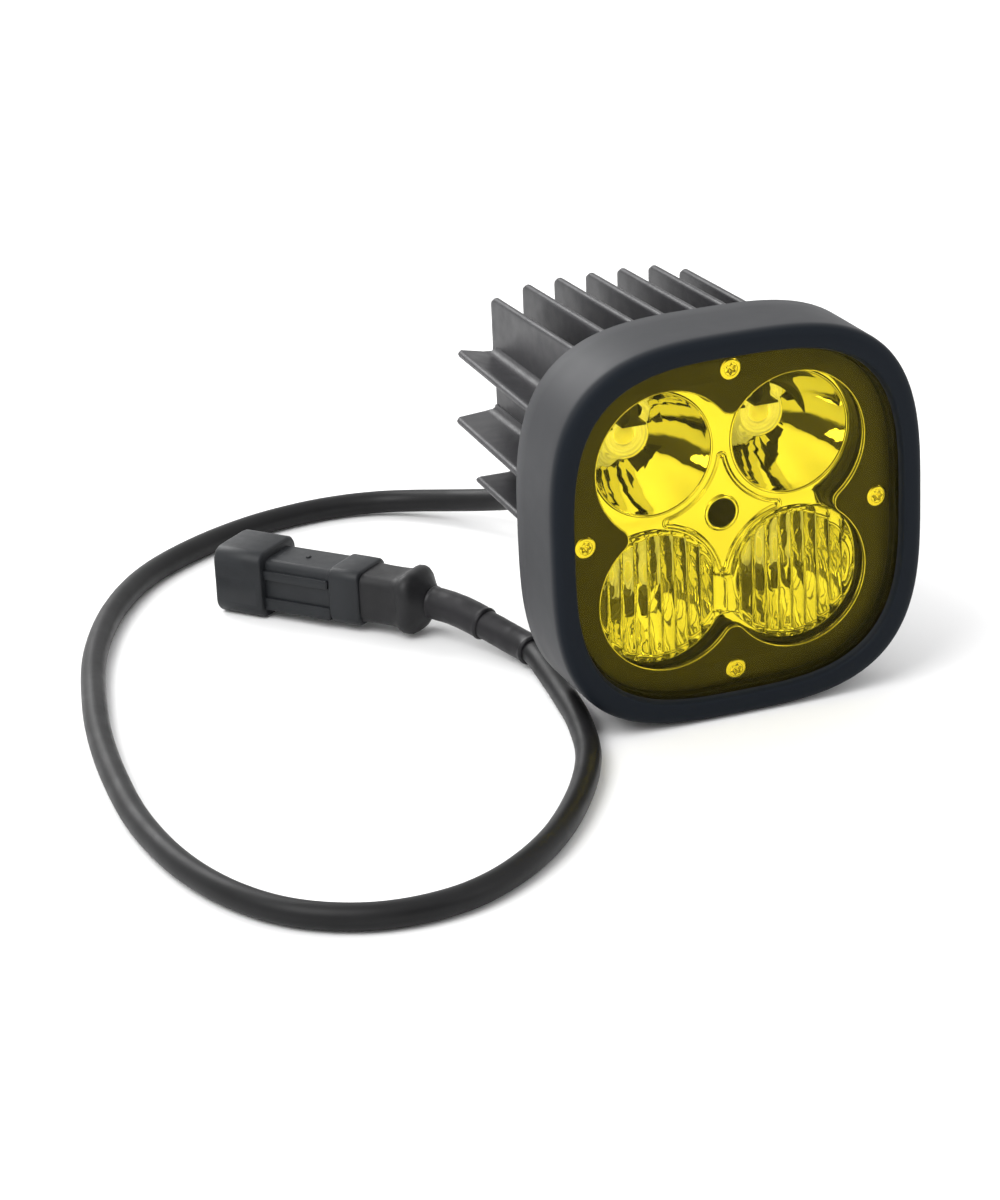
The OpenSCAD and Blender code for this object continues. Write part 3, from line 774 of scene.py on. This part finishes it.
class FOG_OT_front(bpy.types.Operator):
    """Build the front plate, its four screws and the clear lens behind it"""
    bl_idname = "fog.front"
    bl_label = "Front plate and lens"

    def execute(self, context):
        front, rear = depths("retainer_plate")
        half = half_width("retainer_plate")
        spots = [(SCREW, 0), (0, SCREW), (-SCREW, 0), (0, -SCREW)]
        holes = [clover(LOBE, 3.1, 0)] + [circle(2.1, 0, x, z, 32) for x, z in spots]
        mesh = sheet_with_holes(squircle(half, 0), holes, front, rear - front, 0.22)
        dress("front_plate", mesh, plate_paint(), "light", ["retainer_plate"])
        self.lip(front)
        self.screws(spots, front)
        self.lens()
        return {"FINISHED"}

    def lip(self, front):
        """Painted highlight: a thin bright metal band along the plate's opening, standing in for the light that the
        clear lens's edge refracts.
        """
        shape = Shape()
        rings = []
        for k in range(8):
            t = math.radians(45 * k)
            out, back = 0.2 * math.cos(t), 0.2 * math.sin(t)
            rings.append(clover(LOBE - 0.2 + out, 3.3 - out, front + 0.15 + back))
        shape.loft(rings + rings[:1], start=False, end=False)
        # painted highlight: near-white, nearly mirror-like metal makes the bright line
        shape.piece("lens_edge_highlight", plain("painted_edge_highlight", (0.85, 0.85, 0.84), 0.12, 0.9, 2.0, 0.004), "light",
                    "clear_lens", sharp=80)

    def screws(self, spots, front):
        shape = Shape()
        steps = 48
        for n, (x, z) in enumerate(spots):
            twist = 0.6 * n

            def star(depth, grow=0.0):
                ring = []
                for k in range(steps):
                    a = 2 * math.pi * k / steps
                    r = 1.36 + grow + 0.25 * math.cos(6 * (a + twist))
                    ring.append((x + r * math.cos(a), FRONT + depth, AXIS + z + r * math.sin(a)))
                return ring

            rings = [circle(r, d, x, z, steps) for r, d in (
                (1.7, front + 11), (1.7, front + 1.4), (2.0, front + 1.3), (2.95, front + 0.25),
                (3.02, front + 0.02), (2.96, front - 0.16), (2.7, front - 0.27), (2.3, front - 0.33))]
            rings += [circle(1.95, front - 0.33, x, z, steps), circle(1.85, front - 0.22, x, z, steps),
                      star(front - 0.22, 0.08), star(front - 0.12, 0), star(front + 0.9, -0.04),
                      circle(0.35, front + 1.3, x, z, steps)]
            shape.loft(rings)
        shape.piece("plate_screw_heads", steel(), "light", "screw_steel", ["plate_screws"], sharp=28)

    def lens(self):
        shape = Shape()
        top, rear = depths("clear_lens")
        seat = depths("retainer_plate")[1] + 0.15
        shape.loft([clover(LOBE + wider, fillet, d) for wider, fillet, d in (
            (-0.75, 3.75, top), (-0.4, 3.45, top + 0.12), (-0.14, 3.2, top + 0.5), (-0.1, 3.2, seat),
            (3, 2.2, seat), (3, 2.2, rear))])
        shape.piece("lens_pane", clear_pane("clear_lens", (0.985, 0.99, 0.985), index=1.2), "light",
                    "clear_lens", ["clear_lens"])


# ---------- reflector, wide lenses, emitters ----------

class FOG_OT_optics(bpy.types.Operator):
    """Build the metallised reflector, the fluted lenses, the emitters and the centre screw"""
    bl_idname = "fog.optics"
    bl_label = "Lamps"

    # radius of a bowl at its rim and at its emitter, and its depth
    rim = 16.75
    throat = 6.2
    deep = 17.9

    def execute(self, context):
        settings = context.scene.fog_optics
        self.web = depths("reflector")[0]
        self.floor = self.web + self.deep
        self.reflector()
        for side, node in ((-1, "wide_lens_left"), (1, "wide_lens_right")):
            self.wide_lens(side, node, settings)
        self.emitters()
        self.centre_screw()
        return {"FINISHED"}

    def bowl(self, shape, x, z, rim, face):
        """A deep bowl with a thin raised lip round its rim."""
        profile = [(rim + out, face + back) for out, back in (
            (0.95, 0.5), (0.9, -0.02), (0.72, -0.3), (0.45, -0.42), (0.18, -0.3), (0, 0.1))]
        rows = 26
        deep = self.floor - face
        for i in range(1, rows + 1):
            share = i / rows
            narrow = (rim - self.throat) * (0.72 * share + 0.28 * share * share)
            profile.append((rim - narrow, face + deep * share))
        profile += [(self.throat - 0.1, self.floor + 0.25), (self.throat - 0.1, self.floor + 2)]
        shape.lathe(profile, x, z, 120)

    def star(self, r, depth, steps=24, cap=7):
        """Star of four arcs round the lamps, joined by rounded tips."""
        ring = []
        tip = 16.4 - 0.7 * (r - 18.8)
        lean = max(math.asin((BOWL - tip) / r), math.acos(min(1.0, BOWL / r)))
        half = max(0.0, BOWL - r * math.cos(lean))
        reach = math.pi / 4 - lean
        for q in range(4):
            cx, cz = BOWL * (1 if q in (0, 3) else -1), BOWL * (1 if q < 2 else -1)
            middle = math.atan2(-cz, -cx)
            for i in range(steps):
                t = middle - reach + 2 * reach * (1 - i / (steps - 1))
                ring.append((cx + r * math.cos(t), FRONT + depth, AXIS + cz + r * math.sin(t)))
            turn = math.pi / 2 * q
            for k in range(1, cap + 1):
                a = math.pi * k / (cap + 1)
                x, z = half * math.cos(a), BOWL - r * math.sin(lean) + 0.8 * half * math.sin(a)
                ring.append((x * math.cos(turn) - z * math.sin(turn), FRONT + depth,
                             AXIS + x * math.sin(turn) + z * math.cos(turn)))
        return ring

    def reflector(self):
        shape = Shape()
        web = self.web
        for x in (-BOWL, BOWL):
            for z in (-BOWL, BOWL):
                self.bowl(shape, x, z, self.rim, web)
        # star round the centre: ridge, wall, floor, then the rim and tube of the hole
        rings = [self.star(r, web + d) for r, d in (
            (18.75, 0.05), (18.85, -0.25), (19.0, -0.36), (19.2, -0.22), (19.35, 0.08), (19.55, 0.12),
            (19.7, -0.1), (19.82, -0.16), (19.95, 0.02), (20.1, 0.42), (20.2, 0.6), (20.4, 0.64))]
        shape.loft(rings, start=False, end=False)
        steps = 124
        ridge = shape.ring(self.star(20.4, web + 0.64))
        collar = [self.even_circle(r, web + d, steps) for r, d in (
            (5.3, 0.66), (5.05, 0.62), (4.9, 0.4), (4.7, 0.2), (4.4, 0.12), (4.15, 0.2), (4.0, 0.4),
            (4.0, 0.8))]
        made = shape.loft(collar, start=False, end=False)
        shape.bridge(ridge, made[0])
        piece = shape.piece("lamp_bowls", chrome(), "light", "metallised", ["reflector"], sharp=60)
        tube = Shape()
        tube.lathe([(4.0, web + 0.6), (3.95, web + 14.9), (3.0, web + 15.2)], 0, 0, 64, end=True)
        tube.piece("screw_well", plain("well_black", (0.03, 0.03, 0.03), 0.5, size=2.0), "light",
                   "dark_steel")
        holes = [circle(self.rim + 0.8, 0, x, z, 120) for x in (-BOWL, BOWL) for z in (-BOWL, BOWL)]
        holes.append(self.star(18.8, 0))
        mesh = sheet_with_holes(clover(LOBE + 1.2, 2.5, 0), holes, web, 1.0, 0.1)
        dress("lamp_web", mesh, piece.data.materials[0], "light")

    def even_circle(self, r, depth, steps):
        """Circle whose points start where the star's do, so that the two can be joined."""
        ring = []
        for q in range(4):
            for i in range(steps // 4):
                t = math.radians(90 * q + 90 * i / (steps // 4 - 1) * 0.98)
                ring.append((r * math.cos(t), FRONT + depth, AXIS + r * math.sin(t)))
        return ring

    def wide_lens(self, side, node, settings):
        """Half of the clear sheet over the lower bowls, with upright flutes on its front."""
        shape = Shape()
        rear = self.web - 0.45
        front = depths("clear_lens")[1] + 0.08
        count = settings.flutes
        radius = 18.5
        width = BOWL + radius
        crest = settings.flute_depth / MM
        pitch = width / count
        columns, rows = count * 14, 84

        def reach(x, top):
            """Height of the sheet's edge over (or depth under) the line through the lower bowls."""
            inside = max(0.0, radius * radius - (x - BOWL) ** 2)
            if top and x > BOWL:
                return radius * (1 - min(1.0, (x - BOWL) / radius) ** 2.7) ** (1 / 2.7)
            middle = 2.6 if top else 8.4
            return (middle ** 4 * max(0.0, 1 - x / BOWL) + inside * inside) ** 0.25

        top, bottom = [], []
        for i in range(columns + 1):
            x = max(0.04, min(width - 0.02, width * i / columns))
            number = min(count - 1, int(x / pitch))
            across = 2 * (x - (number + 0.5) * pitch) / pitch
            high, low = reach(x, True), -reach(x, False)
            line_top, line_bottom = [], []
            for j in range(rows + 1):
                z = low + (high - low) * j / rows
                sway = noise.noise(Vector((number * 3.7 + side * 9, z * 0.16, 0.5)))
                ripple = noise.noise(Vector((x * 0.35, z * 0.3, side * 3.0)))
                past = max(0.0, 1 - (z - low) / (pitch * 0.5), 1 - (high - z) / (pitch * 0.5))
                dome = math.sqrt(max(0.0, 1 - across * across - past * past))
                d = front + crest * (1 - dome * (0.88 + 0.12 * sway)) + 0.16 * ripple * dome
                line_top.append((side * x, FRONT + max(d, front - 0.05), AXIS - BOWL + z))
                line_bottom.append((side * x, FRONT + rear, AXIS - BOWL + z))
            top.append(shape.ring(line_top))
            bottom.append(shape.ring(line_bottom))
        for i in range(columns):
            for j in range(rows):
                shape.faces.append((top[i][j], top[i + 1][j], top[i + 1][j + 1], top[i][j + 1]))
                shape.faces.append((bottom[i][j], bottom[i][j + 1], bottom[i + 1][j + 1], bottom[i + 1][j]))
            for j in (0, rows):
                shape.faces.append((top[i][j], top[i + 1][j], bottom[i + 1][j], bottom[i][j]))
        for i in (0, columns):
            for j in range(rows):
                shape.faces.append((top[i][j], top[i][j + 1], bottom[i][j + 1], bottom[i][j]))
        name = "wide_glass_left" if side < 0 else "wide_glass_right"
        material = bpy.data.materials.get("fluted_glass") or lamp_glass()
        shape.piece(name, material, "light", "fluted_clear", [node], sharp=75)

    def emitters(self):
        """Stepped white seats in the throats of the bowls, each with a small phosphor dome; seats and domes glow
        faintly with painted light.
        """
        shape, dome = Shape(), Shape()
        # (radius, depth behind the bowls' floor)
        steps_down = [(6.05, 1.8), (6.05, 0.5), (5.85, 0.3), (5.3, 0.3), (5.15, 0.5), (4.9, 0.8), (4.6, 0.8),
                      (4.45, 0.6), (4.2, 0.4), (3.9, 0.4), (3.7, 0.6), (3.5, 1.0), (2.9, 1.2)]
        dome_line = [(2.95, 1.3), (2.9, 0.9), (2.7, 0.3), (2.3, -0.3), (1.7, -0.8), (0.9, -1.1), (0.15, -1.2)]
        for x in (-BOWL, BOWL):
            for z in (-BOWL, BOWL):
                shape.lathe([(r, self.floor + d) for r, d in steps_down], x, z, 72)
                dome.lathe([(r, self.floor + d) for r, d in dome_line], x, z, 48, end=True)
        # painted light: seats (strength 0.22) and domes (strength 0.4) glow faintly to look brighter
        shape.piece("emitter_seats", painted_glow("seat_painted_glow", (0.95, 0.94, 0.9), 0.22, 0.5, 0.22), "light",
                    "board_white", sharp=30)
        dome.piece("emitter_domes", painted_glow("phosphor", (0.95, 0.88, 0.4), 0.15, 0.0, 0.4), "light",
                   "emitter", ["led_emitters"], sharp=60)

    def centre_screw(self):
        shape = Shape()
        low, high = depths("reflector_screw")
        steps = 48

        def hexagon(r, depth):
            ring = []
            for k in range(steps):
                a = 2 * math.pi * k / steps
                reach = r / max(abs(math.cos(a - math.pi / 3 * round(a / (math.pi / 3)))), 0.2)
                ring.append((reach * math.cos(a), FRONT + depth, AXIS + reach * math.sin(a)))
            return ring

        rings = [circle(r, d, 0, 0, steps) for r, d in (
            (1.5, high), (1.5, low + 2.2), (2.7, low + 2.2), (2.9, low + 2.0), (2.9, low + 0.4),
            (2.7, low + 0.12), (2.3, low))]
        rings += [hexagon(1.5, low), hexagon(1.35, low + 0.15), hexagon(1.3, low + 1.3)]
        rings.append(circle(0.2, low + 1.7, 0, 0, steps))
        shape.loft(rings)
        shape.piece("centre_screw", plain("black_oxide", (0.05, 0.05, 0.052), 0.4, 0.7, 1.5, 0.01),
                    "light", "dark_steel", ["reflector_screw"])


# ---------- heat sink ----------

CORE_W, CORE_H = 31.0, 24.5
SINK_BACK = depths("fins_top")[1]
CORE_FRONT, CORE_BACK = 39, SINK_BACK - 3
RIM_BACK = 24.8
# Height of the gland's axis over the light's own
GLAND_DROP = -18
ENVELOPE_W, ENVELOPE_H, ENVELOPE_POWER = 42.4, 44.4, 3.8
# The fins grow by this share towards the front, over this run
FLARE, FLARE_RUN = 0.05, 73
SIDE_REACH = 42
TIP_RADIUS = 3.0
SLANT_TOP, SLANT_RUN = 3.0, 1.65
FIN_PITCH = 9.75
SIDE_FINS = [(24.0, 12.0), (6.8, -4.0), (-6.8, 0.0), (-24.0, -12.0)]


def slant_depth(z):
    """Depth where the sloping cut across the lower back lies, at height z above the axis."""
    return SINK_BACK - SLANT_RUN * (SLANT_TOP - z)


class FOG_OT_sink(bpy.types.Operator):
    """Build the cast heat sink with its fins, filleted at their roots, and the cup that holds the lamps"""
    bl_idname = "fog.sink"
    bl_label = "Heat sink"

    def execute(self, context):
        settings = context.scene.fog_sink
        self.thick = settings.fin_thickness / MM
        self.root = settings.root_fillet / MM
        self.coat = powder_coat()
        self.cup()
        self.core()
        upper, lower, sides = Shape(), Shape(), Shape()
        for i in range(7):
            x = (i - 3) * FIN_PITCH
            tip = ENVELOPE_H * (1 - abs(x / ENVELOPE_W) ** ENVELOPE_POWER) ** (1 / ENVELOPE_POWER)
            self.fin(upper, Vector((x, 0, AXIS + CORE_H)), Vector((0, 0, 1)), Vector((1, 0, 0)), tip - CORE_H)
            self.fin(lower, Vector((x, 0, AXIS - CORE_H)), Vector((0, 0, -1)), Vector((1, 0, 0)),
                     tip - CORE_H, cut=True)
        for side in (-1, 1):
            for z, tilt in SIDE_FINS:
                tip = ENVELOPE_W * (1 - abs(z / ENVELOPE_H) ** ENVELOPE_POWER) ** (1 / ENVELOPE_POWER)
                t = math.radians(tilt)
                out = Vector((side * math.cos(t), 0, math.sin(t)))
                across = Vector((-side * math.sin(t), 0, math.cos(t)))
                start = 47.3 if abs(z) < 10 else RIM_BACK - 0.4
                self.fin(sides, Vector((side * CORE_W, 0, AXIS + z)), out, across, tip - CORE_W, start=start,
                         cut=z < 0, flat=True)
        for shape, node in ((upper, "fins_top"), (lower, "fins_bottom"), (sides, "fins_sides")):
            shape.piece("sink_" + node, self.coat, "light", "heat_sink", [node], sharp=50)
        return {"FINISHED"}

    def fin(self, shape, foot, out, across, height, start=RIM_BACK - 0.4, cut=False, flat=False):
        """One fin: filleted at its root, thin above, rounded along its tip and its rear edge."""
        t, r = self.thick / 2, self.root
        foot_levels = [-0.6, 0.0] + [r * (1 - math.cos(math.radians(a))) for a in (25, 45, 62, 78, 90)]
        levels = foot_levels + [height * k for k in (0.35, 0.6, 0.85)]
        levels += [height - t * (1 - math.sin(math.radians(a))) for a in (0, 30, 55, 75, 90)]
        levels = sorted(set(round(v, 4) for v in levels))
        if cut and not flat:
            # the slope trims this fin to a triangle against the cup
            height = (slant_depth(-CORE_H) - start - 0.8) / SLANT_RUN
            levels = foot_levels + [height * k for k in (0.4, 0.6, 0.75, 0.88, 0.97)]
        rings = []
        for h in levels:
            if h <= 0:
                wide = t + r
            elif h < r:
                wide = t + r - math.sqrt(max(0.0, r * r - (r - h) ** 2))
            else:
                wide = t
            top = height - h
            if top < t and not (cut and not flat):
                wide = max(0.12, math.sqrt(max(0.0, t * t - (t - top) ** 2)))
            rings.append(self.fin_ring(foot, out, across, h, height, wide, start, cut, flat, top))
        shape.loft(rings)

    def fin_ring(self, foot, out, across, h, height, wide, start, cut, flat, top):
        t = self.thick / 2
        share = max(0.0, h) / height
        z = (foot + out * h).z - AXIS
        rear = SINK_BACK - max(0.0, 1 - h / 1.5) * (SINK_BACK - CORE_BACK)
        if flat:
            rear = min(rear, SINK_BACK - max(0.0, 1 - top / 1.0) * 1.2)
        if cut:
            rear = min(rear, slant_depth(z))
        if h < 0:
            rear -= 0.6
        nose = min(t, wide)
        run = rear - start
        stations = [start, start + 0.3 * run, start + 0.65 * run, rear - 3.0, rear - 2.2]
        half_points = [(d, wide) for d in stations]
        for a in (0, 25, 50, 72, 90):
            s = math.radians(a)
            half_points.append((rear - nose + nose * math.sin(s), wide - nose + nose * math.cos(s)))
        outline = half_points + [(d, -w) for d, w in reversed(half_points)]
        ring = []
        for d, w in outline:
            reach = h
            if share > 0:
                spread = FLARE * max(0.0, SINK_BACK - d) / FLARE_RUN
                past = d - SINK_BACK + TIP_RADIUS
                if flat:
                    flared = height + spread * SIDE_REACH
                elif cut:
                    flared = height
                elif past > 0:
                    flared = height - TIP_RADIUS + math.sqrt(max(0.0, TIP_RADIUS ** 2 - past ** 2))
                else:
                    flared = height + spread * (height + CORE_H)
                reach = share * flared
            ring.append(tuple(foot + out * reach + across * w + Vector((0, FRONT + d, 0))))
        return ring

    def core(self):
        """Solid block behind the cup, with the sloping lower back, the shoulder and the gland's boss."""
        shape = Shape()
        bend = SLANT_TOP - (SINK_BACK - CORE_BACK) / SLANT_RUN
        line = [(CORE_FRONT, CORE_H), (CORE_BACK, CORE_H), (CORE_BACK, bend), (slant_depth(-CORE_H), -CORE_H),
                (CORE_FRONT, -CORE_H)]
        shape.loft([[(x, FRONT + d, AXIS + z) for d, z in line] for x in (-CORE_W, CORE_W)])
        block = shape.piece("sink_core", self.coat, "light", "heat_sink", ["housing"], sharp=35)
        add_bevel(block, 1.0, 3)

        rest = Shape()
        # a shallow box that holds the emitter board, closed at its back
        rest.loft([squircle(half, d) for half, d in (
            (32.5, 33.6), (32.5, RIM_BACK - 0.3), (36, RIM_BACK - 0.3), (36, 38.6), (35.75, 39.4),
            (35.2, 39.85), (34.4, 40))])
        # boss of the cable gland
        rest.lathe([(13.2, 58), (11.9, 62), (11.2, 66), (11, 68), (11, 71.3), (10.8, 71.8), (10.3, 72)],
                   0, GLAND_DROP, 64, start=True, end=True)
        rest.piece("sink_shoulder", self.coat, "light", "heat_sink", sharp=35)

    def cup(self):
        """Cup behind the plate: side wall with one shallow groove, rolled rear edge, and an open front."""
        shape = Shape()
        half = half_width("housing")
        face, rear = depths("housing")[0], RIM_BACK
        profile = [(32.6, rear), (32.6, rear - 1.6), (45.2, rear - 1.6), (45.2, face + 0.3), (45.5, face),
                   (half - 0.5, face), (half - 0.12, face + 0.12), (half, face + 0.5), (half, 9.4),
                   (half - 0.35, 9.8), (half - 0.35, 10.6), (half, 11.0), (half, rear - 2.8),
                   (half - 0.3, rear - 1.4),
                   (half - 1.1, rear - 0.4), (half - 2.3, rear), (32.6, rear)]
        shape.loft([squircle(a, d) for a, d in profile], start=False, end=False)
        shape.piece("sink_cup", self.coat, "light", "heat_sink", sharp=35)


# ---------- carried-over parts ----------

class FOG_OT_hardware(bpy.types.Operator):
    """Give the gland, vent, inserts and inner parts their own finishes, and the gland's body and nut, the vent and the
    inserts softened edges
    """
    bl_idname = "fog.hardware"
    bl_label = "Hardware"

    # node: finish name, colour, roughness, metallic, feature size in mm, edge radius in mm
    looks = {
        "gland_body": ("gland_nylon", (0.02, 0.02, 0.022), 0.45, 0.0, 2.0, 0.3),
        "gland_nut": ("gland_nylon", (0.02, 0.02, 0.022), 0.45, 0.0, 2.0, 0.35),
        "gland_seal": ("seal_rubber", (0.014, 0.014, 0.014), 0.7, 0.0, 1.0, 0.0),
        "vent_plug": ("vent_cap", (0.022, 0.022, 0.024), 0.55, 0.0, 1.0, 0.3),
        "mount_inserts": ("zinc_insert", (0.5, 0.5, 0.5), 0.3, 1.0, 1.0, 0.35),
        "window_gasket": ("seal_rubber", (0.014, 0.014, 0.014), 0.7, 0.0, 1.0, 0.0),
        "guard_pads": ("pad_foam", (0.03, 0.03, 0.032), 0.9, 0.0, 0.8, 0.0),
        "lens_gasket": ("seal_rubber", (0.014, 0.014, 0.014), 0.7, 0.0, 1.0, 0.0),
        "lamp_shroud": ("shroud_plastic", (0.02, 0.02, 0.022), 0.6, 0.0, 1.5, 0.0),
        "led_board": ("board_mask", (0.72, 0.71, 0.66), 0.4, 0.0, 3.0, 0.0),
        "thermal_pad": ("thermal_pad", (0.3, 0.34, 0.39), 0.8, 0.0, 1.5, 0.0),
        "board_screws": ("zinc_screw", (0.55, 0.55, 0.55), 0.3, 1.0, 1.0, 0.0),
        "driver_board": ("circuit_mask", (0.03, 0.16, 0.07), 0.4, 0.0, 3.0, 0.0),
        "driver_parts": ("component_case", (0.05, 0.05, 0.05), 0.5, 0.0, 1.5, 0.0),
        "driver_wires": ("wire_red", (0.5, 0.05, 0.03), 0.4, 0.0, 1.0, 0.0),
        "lead_cores": ("wire_white", (0.68, 0.68, 0.66), 0.4, 0.0, 1.0, 0.0),
        "connector_seal": ("silicone_seal", (0.5, 0.13, 0.04), 0.5, 0.0, 1.0, 0.0),
        "contact_pins": ("gold_flash", (0.8, 0.6, 0.25), 0.2, 1.0, 0.6, 0.0),
    }

    def execute(self, context):
        for node, (name, colour, roughness, metallic, size, edge) in self.looks.items():
            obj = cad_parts[node]
            material = bpy.data.materials.get(name) or plain(name, colour, roughness, metallic, size, 0.012)
            for slot in obj.material_slots:
                slot.material = material
            if edge:
                weld = obj.modifiers.new("weld", "WELD")
                weld.merge_threshold = 0.002 * MM
                add_bevel(obj, edge, 3, 35)
        return {"FINISHED"}


# ---------- stage ----------

class FOG_OT_stage(bpy.types.Operator):
    """Lay a pale floor and set soft studio lights"""
    bl_idname = "fog.stage"
    bl_label = "Stage"

    def execute(self, context):
        settings = context.scene.fog_stage
        mesh = bpy.data.meshes.new("floor")
        size = 3.0
        corners = [(x * size, y * size, 0) for x, y in ((-1, -1), (1, -1), (1, 1), (-1, 1))]
        mesh.from_pydata(corners, [], [(0, 1, 2, 3)])
        floor = bpy.data.objects.new("floor", mesh)
        paper = Finish("floor_paper", settings.floor, 0.9, specular=0.1).mottle(120, 0.01)
        mesh.materials.append(paper.done())
        floor.location.z = -0.0002
        context.scene.collection.objects.link(floor)

        context.scene.view_settings.view_transform = "Standard"
        # deep enough for light to pass both panes and leave the bowls again
        cycles = context.scene.cycles
        cycles.max_bounces, cycles.glossy_bounces, cycles.transparent_max_bounces = 20, 12, 32
        self.sky(context)
        self.area("key", (-0.75, -0.35, 1.0), 0.8, settings.key_power)
        self.area("fill", (0.9, -0.9, 0.6), 0.5, settings.key_power * 0.25)
        self.area("rim", (-0.3, 0.9, 0.7), 0.6, settings.key_power * 0.6)
        return {"FINISHED"}

    def sky(self, context):
        """White studio dome with a dark opening at the front right for the bowls to reflect."""
        world = bpy.data.worlds.new("studio")
        context.scene.world = world
        world.use_nodes = True
        tree = world.node_tree
        place = tree.nodes.new("ShaderNodeTexCoord")
        dim = tree.nodes.new("ShaderNodeVectorMath")
        dim.operation = "DOT_PRODUCT"
        dim.inputs[1].default_value = Vector((0.5, -0.82, 0.24)).normalized()
        ramp = tree.nodes.new("ShaderNodeValToRGB")
        ramp.color_ramp.interpolation = "EASE"
        ramp.color_ramp.elements[0].position = 0.84
        ramp.color_ramp.elements[0].color = (1, 1, 1, 1)
        ramp.color_ramp.elements[1].position = 0.92
        ramp.color_ramp.elements[1].color = (0.06, 0.06, 0.065, 1)
        tree.links.new(place.outputs["Generated"], dim.inputs[0])
        tree.links.new(dim.outputs["Value"], ramp.inputs["Fac"])
        tree.links.new(ramp.outputs["Color"], tree.nodes["Background"].inputs["Color"])
        tree.nodes["Background"].inputs["Strength"].default_value = 1.0

    def area(self, name, place, size, power):
        data = bpy.data.lights.new(name, "AREA")
        data.shape = "SQUARE"
        data.size = size
        data.energy = power
        lamp = bpy.data.objects.new(name, data)
        lamp.location = place
        aim = Vector((0, 0, 0.05)) - Vector(place)
        lamp.rotation_mode = "QUATERNION"
        lamp.rotation_quaternion = aim.to_track_quat("-Z", "Y")
        bpy.context.scene.collection.objects.link(lamp)


# ---------- registering ----------

OPERATORS = [FOG_OT_camera, FOG_OT_lead, FOG_OT_guard, FOG_OT_front, FOG_OT_optics, FOG_OT_sink,
             FOG_OT_hardware, FOG_OT_stage]


class FOG_PT_panel(bpy.types.Panel):
    """Lists the sizes, the colours and the steps that build the light"""
    bl_idname = "FOG_PT_panel"
    bl_label = "Fog light"
    bl_space_type = "VIEW_3D"
    bl_region_type = "UI"
    bl_category = "Fog light"

    def draw(self, context):
        for name, group in SETTINGS.items():
            box = self.layout.box()
            box.label(text=group.__doc__)
            for prop in group.__annotations__:
                box.prop(getattr(context.scene, name), prop)
        for operator in OPERATORS:
            self.layout.operator(operator.bl_idname)


def register():
    for name, group in SETTINGS.items():
        bpy.utils.register_class(group)
        setattr(bpy.types.Scene, name, PointerProperty(type=group))
    for operator in OPERATORS:
        bpy.utils.register_class(operator)
    bpy.utils.register_class(FOG_PT_panel)


def unregister():
    bpy.utils.unregister_class(FOG_PT_panel)
    for operator in reversed(OPERATORS):
        bpy.utils.unregister_class(operator)
    for name, group in reversed(SETTINGS.items()):
        delattr(bpy.types.Scene, name)
        bpy.utils.unregister_class(group)


def main():
    register()
    for operator in OPERATORS:
        group, step = operator.bl_idname.split(".")
        getattr(getattr(bpy.ops, group), step)()


if __name__ == "__main__":
    main()
